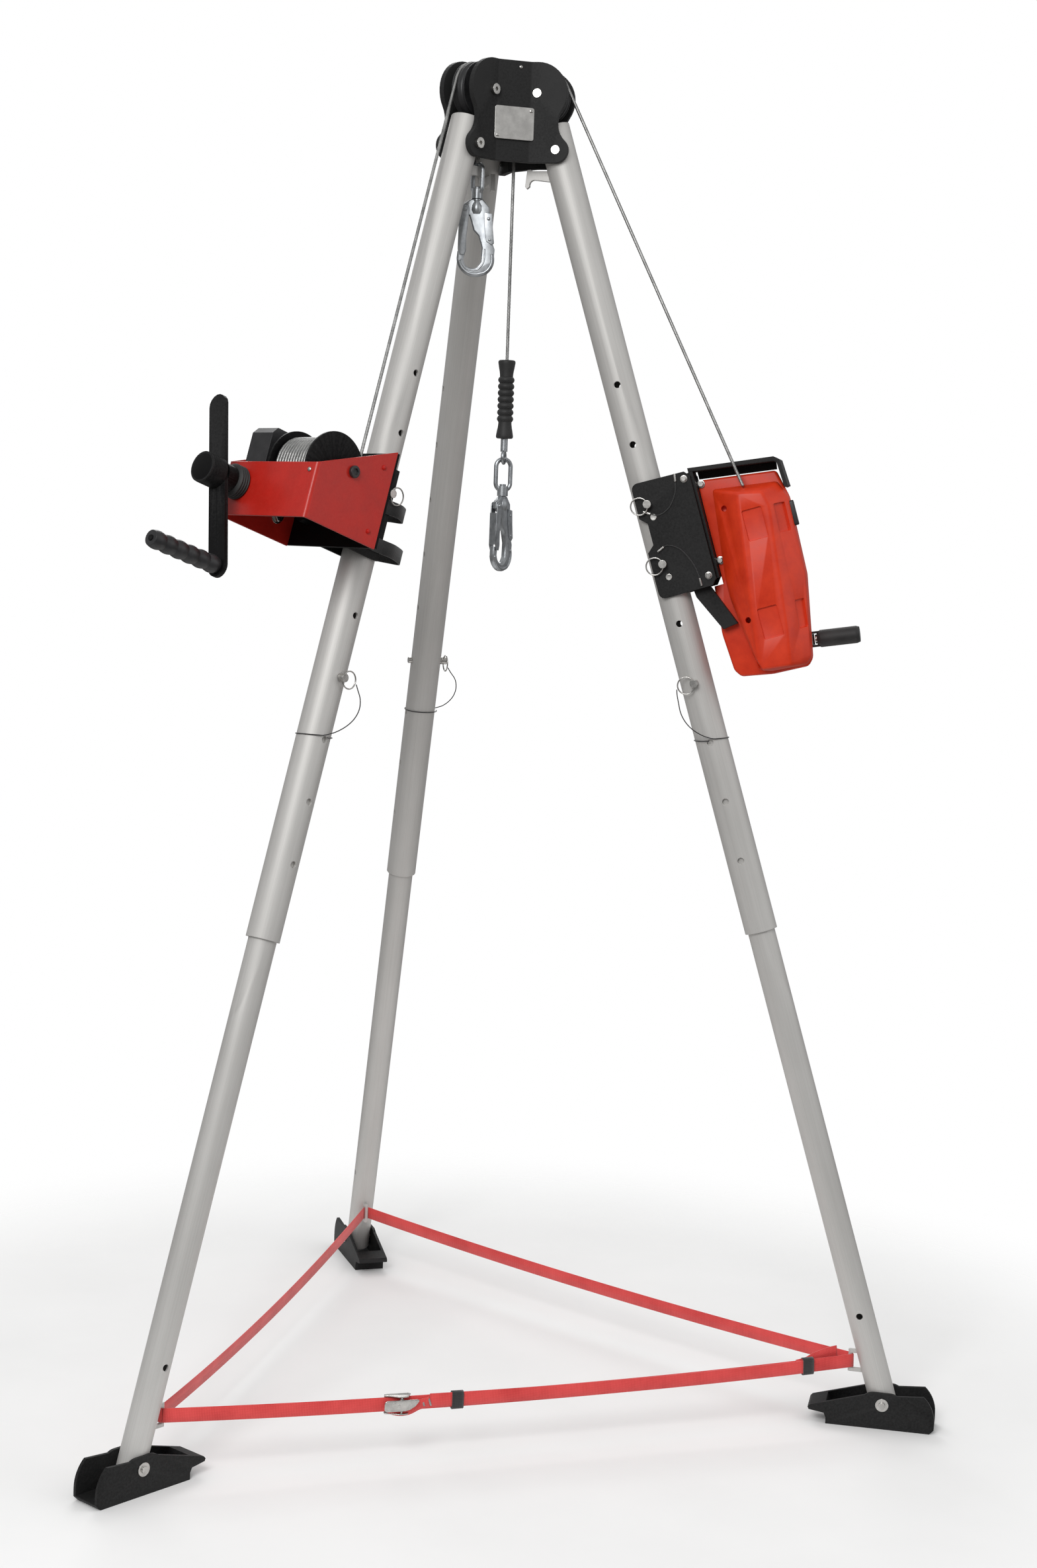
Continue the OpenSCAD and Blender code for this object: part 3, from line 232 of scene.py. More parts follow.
@dataclass(frozen=True)
class Layout:
    """Sizes of the frame in millimetres, as the part's source gives them."""

    lean: float = 17.1
    hinge_r: float = 108.0
    leg_len: float = 2370.0
    foot_h: float = 46.0
    outer_d: float = 60.0
    pin_drop: float = 995.0
    axle_r: float = 71.0
    axle_h: float = 100.0
    wrap_r: float = 49.5
    groove_y: float = 7.5
    cable_d: float = 6.0
    web_w: float = 25.0
    web_t: float = 2.5
    catch_drop: float = 40.0
    catch_reach: float = 70.0
    link_in: float = 12.3
    link_up: float = 6.4

    @property
    def cos(self) -> float:
        """Cosine of the lean."""
        return math.cos(math.radians(self.lean))

    @property
    def sin(self) -> float:
        """Sine of the lean."""
        return math.sin(math.radians(self.lean))

    @property
    def hinge_z(self) -> float:
        """Height of the hinge bolts."""
        return self.foot_h + self.leg_len * self.cos

    @property
    def foot_r(self) -> float:
        """Distance of the foot pivots from the middle axis."""
        return self.hinge_r + self.leg_len * self.sin

    @property
    def park_r(self) -> float:
        """Distance of the parked hook's link from the middle axis."""
        return self.hinge_r + self.catch_drop * self.sin - self.catch_reach + self.link_in

    @property
    def park_z(self) -> float:
        """Height of the parked link above the hinge."""
        return self.link_up - self.catch_drop * self.cos

    def plane(self, leg: Leg, r: float, y: float, z: float) -> Vector:
        """Point in a leg's upright plane.

        Args:
            leg: The leg.
            r: Distance from the middle axis.
            y: Offset round the head.
            z: Height above the floor.

        Returns:
            The point in metres.
        """
        a = math.radians(leg.value)
        return Vector((r * math.cos(a) - y * math.sin(a), r * math.sin(a) + y * math.cos(a), z)) * MM

    def leg(self, leg: Leg, x: float, y: float, z: float) -> Vector:
        """Point in a leg's own frame: x outwards, y round the head, z up the tube from the hinge.

        Returns:
            The point in metres.
        """
        r = self.hinge_r + x * self.cos - z * self.sin
        return self.plane(leg, r, y, self.hinge_z + x * self.sin + z * self.cos)

    def leg_matrix(self, leg: Leg, x: float = 0.0, y: float = 0.0, z: float = 0.0) -> Matrix:
        """Matrix of a leg's own frame moved to a point of it, for meshes in metres."""
        lean = Matrix.Rotation(math.radians(-self.lean), 4, "Y")
        turn = Matrix.Rotation(math.radians(leg.value), 4, "Z") @ lean
        return Matrix.Translation(self.leg(leg, x, y, z)) @ turn


PLAN = Layout()


class Nodes:
    """A material's node tree with short ways to add and join nodes."""

    edge: float = 0.0014

    def __init__(self, name: str) -> None:
        """Start an empty tree with a Principled shader.

        Args:
            name: Material name.
        """
        self.material = bpy.data.materials.new(name)
        self.material.use_nodes = True
        self.tree = self.material.node_tree
        self.tree.nodes.clear()
        self.out = self.add("ShaderNodeOutputMaterial")
        self.shader = self.add("ShaderNodeBsdfPrincipled")
        self.join(self.shader, "BSDF", self.out, "Surface")
        self.coords = self.add("ShaderNodeTexCoord")

    def add(self, kind: str, **values: object) -> Node:
        """Add a node and set its attributes and inputs.

        Args:
            kind: Blender's node type.
            values: Attributes, or inputs by name with spaces as underscores.

        Returns:
            The node.
        """
        node = self.tree.nodes.new(kind)
        for key, value in values.items():
            if hasattr(node, key) and key not in node.inputs:
                setattr(node, key, value)
            else:
                node.inputs[key.replace("_", " ")].default_value = value
        return node

    def join(self, a: Node, a_out: str, b: Node, b_in: str | int) -> None:
        """Link an output to an input by name."""
        self.tree.links.new(a.outputs[a_out], b.inputs[b_in])

    def mapped(self, scale: Sequence[float], turn: Sequence[float] = (0, 0, 0),
               source: str = "Object") -> Node:
        """Scaled and turned texture coordinates.

        Returns:
            The mapping node.
        """
        node = self.add("ShaderNodeMapping", vector_type="TEXTURE" if any(turn) else "POINT")
        if any(turn):
            node.inputs["Rotation"].default_value = turn
            node.inputs["Scale"].default_value = [1 / s for s in scale]
        else:
            node.inputs["Scale"].default_value = scale
        self.join(self.coords, source, node, "Vector")
        return node

    def noise(self, at: Node, size: float, detail: float = 4.0, rough: float = 0.55) -> Node:
        """Noise texture read at mapped coordinates."""
        node = self.add("ShaderNodeTexNoise", Scale=size, Detail=detail, Roughness=rough)
        self.join(at, "Vector", node, "Vector")
        return node

    def ramp(self, source: Node, output: str, stops: Sequence[tuple[float, Sequence[float]]]) -> Node:
        """Colour ramp over a value."""
        node = self.add("ShaderNodeValToRGB")
        marks = node.color_ramp.elements
        while len(marks) < len(stops):
            marks.new(0.5)
        for mark, (place, tint) in zip(marks, stops):
            mark.position = place
            mark.color = (*tint[:3], 1.0)
        self.join(source, output, node, "Fac")
        return node

    def spread(self, source: Node, output: str, low: float, high: float) -> Node:
        """Map a value from 0..1 to a range."""
        node = self.add("ShaderNodeMapRange")
        node.inputs["To Min"].default_value = low
        node.inputs["To Max"].default_value = high
        self.join(source, output, node, "Value")
        return node

    def give(self, **values: float) -> None:
        """Set the shader's plain inputs, by name with spaces as underscores."""
        for key, value in values.items():
            self.shader.inputs[key.replace("_", " ")].default_value = value

    def colour(self, source: Node) -> None:
        """Take the base colour from a ramp."""
        self.join(source, "Color", self.shader, "Base Color")

    def roughness(self, source: Node, low: float, high: float) -> None:
        """Spread the roughness over a range by a noise."""
        self.join(self.spread(source, "Fac", low, high), "Result", self.shader, "Roughness")

    def bump(self, source: Node, output: str, depth: float, strength: float = 1.0) -> Node:
        """Bump from a height, over softened edges."""
        node = self.add("ShaderNodeBump", Strength=strength, Distance=depth)
        self.join(source, output, node, "Height")
        under = self.add("ShaderNodeBevel", Radius=self.edge)
        under.samples = 4
        self.join(under, "Normal", node, "Normal")
        self.join(node, "Normal", self.shader, "Normal")
        return node


def edge_wear(nodes: Nodes, size: float) -> Node:
    """Mask that rises on sharp edges, broken up by noise.

    Args:
        nodes: The material's tree.
        size: Scale of the break-up noise.

    Returns:
        A node whose "Result" output is the mask.
    """
    point = nodes.add("ShaderNodeNewGeometry")
    chips = nodes.noise(nodes.mapped((1, 1, 1)), size, 6.0, 0.7)
    mix = nodes.add("ShaderNodeMath", operation="MULTIPLY_ADD")
    nodes.join(chips, "Fac", mix, 0)
    mix.inputs[1].default_value = 0.16
    nodes.join(point, "Pointiness", mix, 2)
    mask = nodes.add("ShaderNodeMapRange")
    mask.inputs["From Min"].default_value = 0.62
    mask.inputs["From Max"].default_value = 0.72
    nodes.join(mix, "Value", mask, "Value")
    return mask


@dataclass(frozen=True)
class Tube:
    """Satin anodised aluminium with fine lines along the tube."""

    leg: Leg
    dark: Triple = (0.50, 0.49, 0.47)
    light: Triple = (0.62, 0.61, 0.59)

    def make(self) -> Material:
        """Build the material."""
        n = Nodes(f"anodised_tube_{self.leg.name.lower()}")
        turn = (0.0, math.radians(-PLAN.lean), math.radians(self.leg.value))
        lines = n.noise(n.mapped((900, 900, 3), turn), 1.0, 3.0)
        blotch = n.noise(n.mapped((1, 1, 0.35), turn), 9.0, 5.0, 0.6)
        both = n.add("ShaderNodeMix", data_type="FLOAT")
        both.inputs[0].default_value = 0.55
        n.join(lines, "Fac", both, 2)
        n.join(blotch, "Fac", both, 3)
        tint = n.ramp(both, "Result", ((0.30, self.dark), (0.70, self.light)))
        n.colour(tint)
        n.roughness(blotch, 0.46, 0.60)
        n.give(Metallic=0.35, Anisotropic=0.35)
        n.bump(lines, "Fac", 0.00002, 0.5)
        return n.material


@dataclass(frozen=True)
class Paint:
    """Powder coat with orange-peel, faint dust and worn edges."""

    name: str
    colour: Triple
    shade: Triple
    rough: float = 0.38
    grain: float = 900.0
    depth: float = 0.00006
    wear: Triple = (0.42, 0.42, 0.42)
    wear_share: float = 0.5
    coat: float = 0.0
    spec: float = 0.5

    def make(self) -> Material:
        """Build the material."""
        n = Nodes(self.name)
        grain = n.noise(n.mapped((1, 1, 1)), self.grain, 3.0)
        dust = n.noise(n.mapped((1, 1, 1)), 28.0, 6.0, 0.65)
        tint = n.ramp(dust, "Fac", ((0.32, self.shade), (0.68, self.colour)))
        mask = edge_wear(n, 260.0)
        fade = n.add("ShaderNodeMath", operation="MULTIPLY")
        n.join(mask, "Result", fade, 0)
        fade.inputs[1].default_value = self.wear_share
        mix = n.add("ShaderNodeMix", data_type="RGBA")
        n.join(fade, "Value", mix, 0)
        n.join(tint, "Color", mix, 6)
        mix.inputs[7].default_value = (*self.wear, 1.0)
        # The socket named "Result" is the float one, so the colour output is joined by place
        n.tree.links.new(mix.outputs[2], n.shader.inputs["Base Color"])
        n.roughness(dust, self.rough - 0.07, self.rough + 0.12)
        n.give(Specular_IOR_Level=self.spec, Coat_Weight=self.coat, Coat_Roughness=0.15)
        n.bump(grain, "Fac", self.depth, 0.6)
        return n.material


@dataclass(frozen=True)
class Plate:
    """Plated or forged steel with mottled brightness and fine scratches."""

    name: str
    dark: Triple
    light: Triple
    rough: Pair = (0.18, 0.36)
    metal: float = 1.0
    grain: float = 420.0

    def make(self) -> Material:
        """Build the material."""
        n = Nodes(self.name)
        mottle = n.noise(n.mapped((1, 1, 1)), 60.0, 6.0, 0.65)
        fine = n.noise(n.mapped((1, 1, 6)), self.grain, 3.0)
        tint = n.ramp(mottle, "Fac", ((0.30, self.dark), (0.70, self.light)))
        n.colour(tint)
        n.roughness(mottle, *self.rough)
        n.give(Metallic=self.metal)
        n.bump(fine, "Fac", 0.00004, 0.35)
        return n.material


@dataclass(frozen=True)
class Moulded:
    """Moulded plastic or rubber with a fine spark-eroded grain."""

    name: str
    colour: Triple
    rough: float = 0.5
    grain: float = 700.0
    sheen: float = 0.0

    def make(self) -> Material:
        """Build the material."""
        n = Nodes(self.name)
        grain = n.noise(n.mapped((1, 1, 1)), self.grain, 2.0)
        dust = n.noise(n.mapped((1, 1, 1)), 35.0, 5.0, 0.6)
        pale = tuple(min(1.0, c * 1.7 + 0.008) for c in self.colour)
        tint = n.ramp(dust, "Fac", ((0.35, self.colour), (0.75, pale)))
        n.colour(tint)
        n.roughness(dust, self.rough - 0.08, self.rough + 0.1)
        n.give(Sheen_Weight=self.sheen)
        n.bump(grain, "Fac", 0.00005, 0.5)
        return n.material


@dataclass(frozen=True)
class Webbing:
    """Woven strap: ribs across the band and yarns along it, laid on the strap's own UV map in metres."""

    name: str
    colour: Triple
    shade: Triple

    def make(self) -> Material:
        """Build the material."""
        n = Nodes(self.name)
        ribs = n.add("ShaderNodeTexWave", wave_type="BANDS", bands_direction="X", Scale=110.0,
                     Distortion=0.6)
        n.join(n.mapped((1, 1, 1), source="UV"), "Vector", ribs, "Vector")
        yarn = n.add("ShaderNodeTexWave", wave_type="BANDS", bands_direction="Y", Scale=160.0,
                     Distortion=0.8)
        n.join(n.mapped((1, 1, 1), source="UV"), "Vector", yarn, "Vector")
        weave = n.add("ShaderNodeMath", operation="MULTIPLY")
        n.join(ribs, "Fac", weave, 0)
        n.join(yarn, "Fac", weave, 1)
        worn = n.noise(n.mapped((1, 1, 1)), 14.0, 5.0, 0.6)
        blend = n.add("ShaderNodeMath", operation="MULTIPLY_ADD")
        n.join(weave, "Value", blend, 0)
        blend.inputs[1].default_value = 0.45
        n.join(worn, "Fac", blend, 2)
        tint = n.ramp(blend, "Value", ((0.30, self.shade), (0.95, self.colour)))
        n.colour(tint)
        n.give(Roughness=0.72, Sheen_Weight=0.35, Sheen_Roughness=0.5)
        n.bump(weave, "Value", 0.0003, 0.7)
        return n.material


class Finishes:
    """Every material of the part, made once."""

    def __init__(self) -> None:
        """Make the materials."""
        self.tubes = {leg: Tube(leg).make() for leg in Leg}
        self.by_coat: dict[Coat, Material] = {
            Coat.BLACK: Paint("satin_black_coat", (0.0058, 0.0058, 0.0062), (0.003, 0.003, 0.003), 0.46,
                              wear=(0.05, 0.05, 0.05), spec=0.10).make(),
            Coat.ZINC: Plate("bright_zinc", (0.38, 0.37, 0.355), (0.62, 0.61, 0.585)).make(),
            Coat.FORGED: Plate("plated_forging", (0.27, 0.285, 0.30), (0.50, 0.52, 0.535),
                               (0.28, 0.46)).make(),
            Coat.ROPE: Plate("wire_rope", (0.20, 0.20, 0.195), (0.43, 0.43, 0.42), (0.32, 0.5), 0.85,
                             900.0).make(),
            Coat.TUBE: Plate("plain_alloy", (0.52, 0.51, 0.49), (0.72, 0.71, 0.68), (0.35, 0.5)).make(),
            Coat.PLASTIC: Moulded("moulded_black", (0.012, 0.012, 0.013), 0.42).make(),
            Coat.RUBBER: Moulded("black_rubber", (0.010, 0.010, 0.010), 0.6, 500.0, 0.1).make(),
            Coat.BLACK_WEB: Webbing("black_webbing", (0.030, 0.030, 0.031), (0.008, 0.008, 0.008)).make(),
            Coat.RED: Paint("red_gloss_coat", (0.50, 0.008, 0.004), (0.40, 0.006, 0.003), 0.30, 500.0,
                            0.00003, (0.60, 0.06, 0.04), 0.3, 0.10, 0.28).make(),
            Coat.ORANGE: Paint("orange_red_housing", (0.76, 0.046, 0.009), (0.62, 0.030, 0.006), 0.40,
                               1100.0, 0.00008, (0.80, 0.09, 0.03), 0.3, 0.0, 0.36).make(),
            Coat.RED_WEB: Webbing("red_webbing", (0.86, 0.085, 0.080), (0.55, 0.022, 0.022)).make(),
            Coat.BRONZE: Plate("wheel_bronze", (0.36, 0.22, 0.08), (0.58, 0.40, 0.18), (0.25, 0.42)).make(),
        }

    def of(self, coat: Coat) -> Material:
        """Material of a coat."""
        return self.by_coat[coat]


def build_mesh(name: str, verts: Iterable[Sequence[float]], faces: Iterable[Sequence[int]]) -> Piece:
    """Object from points and faces, linked to the scene.

    Args:
        name: Piece name.
        verts: Points in metres, in the row frame.
        faces: Corner numbers of each face.

    Returns:
        The new object.
    """
    mesh = bpy.data.meshes.new(name)
    mesh.from_pydata([tuple(v) for v in verts], [], [tuple(f) for f in faces])
    work = bmesh.new()
    work.from_mesh(mesh)
    bmesh.ops.recalc_face_normals(work, faces=work.faces)
    work.to_mesh(mesh)
    work.free()
    for poly in mesh.polygons:
        poly.use_smooth = True
    piece = bpy.data.objects.new(name, mesh)
    bpy.context.scene.collection.objects.link(piece)
    return piece


def skin(rows: int, size: int) -> list[tuple[int, ...]]:
    """Faces over rows of points, with both ends closed.

    Args:
        rows: Number of rows.
        size: Points in each row.

    Returns:
        Corner numbers of each face.
    """
    faces: list[tuple[int, ...]] = []
    for a in range(0, (rows - 1) * size, size):
        b = a + size
        for k in range(size):
            ahead = (k + 1) % size
            faces.append((a + k, a + ahead, b + ahead, b + k))
    return [*faces, tuple(range(size - 1, -1, -1)), tuple(range((rows - 1) * size, rows * size))]


def dress(piece: Piece, material: Material) -> None:
    """Give a piece one material on all its faces."""
    piece.data.materials.clear()
    piece.data.materials.append(material)


def even(path: Sequence[Vector], step: float) -> list[Vector]:
    """Points along a polyline at an even step, with both ends kept."""
    gaps = [(b - a).length for a, b in zip(path, path[1:])]
    total = sum(gaps)
    count = max(2, round(total / step))
    points, i, passed = [], 0, 0.0
    for k in range(count + 1):
        want = total * k / count
        while i < len(gaps) - 1 and passed + gaps[i] < want:
            passed += gaps[i]
            i += 1
        share = (want - passed) / gaps[i] if gaps[i] else 0.0
        points.append(path[i].lerp(path[i + 1], min(1.0, share)))
    return points


def rounded(path: Sequence[Vector], per: int = 6) -> list[Vector]:
    """Smooth curve through points (uniform Catmull-Rom)."""
    pts = [2 * path[0] - path[1], *path, 2 * path[-1] - path[-2]]
    out: list[Vector] = []
    for a, b, c, d in zip(pts, pts[1:], pts[2:], pts[3:]):
        for k in range(per):
            t = k / per
            bend, twist = 2 * a - 5 * b + 4 * c - d, 3 * b - a - 3 * c + d
            out.append(0.5 * ((2 * b) + (c - a) * t + bend * t * t + twist * t ** 3))
    out.append(path[-1].copy())
    return out


def circle(r: float, sides: int, turn: float = 0.0) -> Outline:
    """Round section of a swept piece."""
    angles = [2 * math.pi * k / sides + turn for k in range(sides)]
    return [(r * math.cos(a), r * math.sin(a)) for a in angles]


def band(t: float, w: float, soft: float) -> Outline:
    """Flat webbing section with softened edges, from half its thickness and half its width."""
    return [(-t, -w + soft), (-t * 0.4, -w), (t * 0.4, -w), (t, -w + soft), (t, 0), (t, w - soft),
            (t * 0.4, w), (-t * 0.4, w), (-t, w - soft), (-t, 0)]


def length_of(path: Sequence[Vector]) -> float:
    """Length of a polyline in metres."""
    return sum((b - a).length for a, b in zip(path, path[1:]))


def sweep(name: str, path: Sequence[Vector], section: Callable[[int, float], Outline],
          side: Vector) -> Piece:
    """Sweep a closed section along a path, with a UV map in metres.

    Args:
        name: Piece name.
        path: Centreline points.
        section: Gives the section's points for a ring's number and its distance along the path.
        side: First direction of the section's v axis; it is carried along without twist.

    Returns:
        The swept object.
    """
    verts: list[Vector] = []
    runs: list[float] = []
    up = side.normalized()
    done = 0.0
    size = 0
    for i, p in enumerate(path):
        ahead = path[min(i + 1, len(path) - 1)] - path[max(i - 1, 0)]
        ahead.normalize()
        up = (up - ahead * up.dot(ahead)).normalized()
        across = ahead.cross(up)
        if i:
            done += (p - path[i - 1]).length
        ring = section(i, done)
        size = len(ring)
        runs.append(done)
        verts.extend(p + across * u + up * v for u, v in ring)
    piece = build_mesh(name, verts, skin(len(path), size))
    ring0 = section(0, 0.0)
    around = [0.0]
    for a, b in zip(ring0, ring0[1:]):
        around.append(around[-1] + math.hypot(b[0] - a[0], b[1] - a[1]))
    chart = piece.data.uv_layers.new(name="strap")
    for poly in piece.data.polygons:
        for corner in poly.loop_indices:
            v = piece.data.loops[corner].vertex_index
            chart.data[corner].uv = (runs[v // size], around[v % size])
    return piece


@dataclass
class Studio:
    """Camera at the photo's place, pale floor and soft light."""

    camera_at: Triple = (-1.332, -4.275, 1.604)
    turns: Triple = (-18.22, 84.25, 2.03)
    lens: float = 54.99
    floor_half: float = 4.0
    aim: Triple = (0.0, 0.0, 1.2)
    lamps: tuple[tuple[str, Triple, float, float], ...] = (
        ("key", (-2.4, -3.6, 3.6), 112.0, 2.0), ("fill", (3.4, -2.4, 2.6), 22.0, 2.8),
        ("rim", (0.4, 3.6, 3.8), 60.0, 2.4))

    def build(self) -> None:
        """Make the camera, the floor, the world and the lamps."""
        data = bpy.data.cameras.new("photo_camera")
        data.lens, data.sensor_width = self.lens, 36.0
        data.sensor_fit = "AUTO"
        data.clip_end = 60.0
        camera = bpy.data.objects.new("photo_camera", data)
        z, x, roll = (math.radians(a) for a in self.turns)
        turn = Matrix.Rotation(z, 4, "Z") @ Matrix.Rotation(x, 4, "X") @ Matrix.Rotation(roll, 4, "Z")
        camera.matrix_world = Matrix.Translation(self.camera_at) @ turn
        bpy.context.scene.collection.objects.link(camera)
        bpy.context.scene.camera = camera
        self.floor()
        self.world()
        for lamp in self.lamps:
            self.lamp(*lamp)

    def floor(self) -> None:
        """Lay the pale floor, which fades into the white background away from the feet."""
        mesh = bpy.data.meshes.new("floor")
        s = self.floor_half
        mesh.from_pydata([(-s, -s, 0), (s, -s, 0), (s, s, 0), (-s, s, 0)], [], [(0, 1, 2, 3)])
        floor = bpy.data.objects.new("floor", mesh)
        bpy.context.scene.collection.objects.link(floor)
        n = Nodes("pale_floor")
        n.give(Roughness=0.9, Specular_IOR_Level=0.1)
        speck = n.noise(n.mapped((1, 1, 1)), 3.0)
        n.colour(n.ramp(speck, "Fac", ((0.3, (0.90, 0.90, 0.895)), (0.7, (0.93, 0.93, 0.925)))))
        away = n.add("ShaderNodeVectorMath", operation="LENGTH")
        n.join(n.coords, "Object", away, 0)
        fade = n.add("ShaderNodeMapRange", interpolation_type="SMOOTHSTEP")
        fade.inputs["From Min"].default_value = 0.95
        fade.inputs["From Max"].default_value = 1.75
        n.join(away, "Value", fade, "Value")
        clear = n.add("ShaderNodeBsdfTransparent")
        both = n.add("ShaderNodeMixShader")
        n.join(fade, "Result", both, 0)
        n.join(n.shader, "BSDF", both, 1)
        n.join(clear, "BSDF", both, 2)
        n.join(both, "Shader", n.out, "Surface")
        dress(floor, n.material)
        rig.stage(floor)

    def world(self) -> None:
        """White background for the camera and reflections, softer light on the object."""
        world = bpy.data.worlds.new("studio")
        bpy.context.scene.world = world
        world.use_nodes = True
        tree = world.node_tree
        tree.nodes.clear()
        out = tree.nodes.new("ShaderNodeOutputWorld")
        path = tree.nodes.new("ShaderNodeLightPath")
        seen = tree.nodes.new("ShaderNodeMath")
        seen.operation = "MAXIMUM"
        tree.links.new(path.outputs["Is Camera Ray"], seen.inputs[0])
        tree.links.new(path.outputs["Is Transmission Ray"], seen.inputs[1])
        soft, white, mix = (tree.nodes.new(k)
                            for k in ("ShaderNodeBackground", "ShaderNodeBackground",
                                      "ShaderNodeMixShader"))
        where = tree.nodes.new("ShaderNodeTexCoord")
        parts = tree.nodes.new("ShaderNodeSeparateXYZ")
        sky = tree.nodes.new("ShaderNodeValToRGB")
        level = tree.nodes.new("ShaderNodeMapRange")
        level.inputs["From Min"].default_value = -1.0
        marks = sky.color_ramp.elements
        marks[0].position, marks[0].color = 0.30, (0.30, 0.29, 0.28, 1.0)
        marks[1].position, marks[1].color = 0.85, (1.0, 1.0, 1.0, 1.0)
        marks.new(0.55).color = (0.55, 0.55, 0.56, 1.0)
        tree.links.new(where.outputs["Generated"], parts.inputs[0])
        tree.links.new(parts.outputs["Z"], level.inputs["Value"])
        tree.links.new(level.outputs["Result"], sky.inputs["Fac"])
        tree.links.new(sky.outputs["Color"], soft.inputs["Color"])
        soft.inputs["Strength"].default_value = 0.62
        white.inputs["Color"].default_value = (1.0, 1.0, 1.0, 1.0)
        tree.links.new(seen.outputs[0], mix.inputs[0])
        tree.links.new(soft.outputs[0], mix.inputs[1])
        tree.links.new(white.outputs[0], mix.inputs[2])
        tree.links.new(mix.outputs[0], out.inputs[0])

    def lamp(self, name: str, at: Triple, power: float, size: float) -> None:
        """Hang a soft square lamp that points at the middle of the tripod."""
        data = bpy.data.lights.new(name, "AREA")
        data.energy, data.size = power, size
        lamp = bpy.data.objects.new(name, data)
        lamp.location = at
        lamp.rotation_euler = (Vector(self.aim) - Vector(at)).to_track_quat("-Z", "Y").to_euler()
        bpy.context.scene.collection.objects.link(lamp)


@dataclass
class WireRope:
    """Stranded steel cable as a twisted six-lobed tube."""

    name: str
    path: list[Vector]
    diameter: float = 0.006
    lay: float = 0.036
    lobes: int = 6
    sides: int = 18
    step: float = 0.0025

    def build(self, finish: Material) -> Piece:
        """Sweep the strands along the path.

        Args:
            finish: Material of the wire.

        Returns:
            The rope.
        """
        self.path = even(self.path, self.step)
        r = self.diameter / 2

        def ring(_: int, done: float) -> Outline:
            points = []
            for k in range(self.sides):
                a = 2 * math.pi * k / self.sides
                lobe = 0.90 + 0.10 * abs(math.cos(self.lobes * a / 2))
                t = a + 2 * math.pi * done / self.lay
                points.append((r * lobe * math.cos(t), r * lobe * math.sin(t)))
            return points

        rope = sweep(self.name, self.path, ring, Vector((0, 0, 1)).cross(self.path[1] - self.path[0]))
        dress(rope, finish)
        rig.slot(rope, Coat.ROPE.value)
        return rope


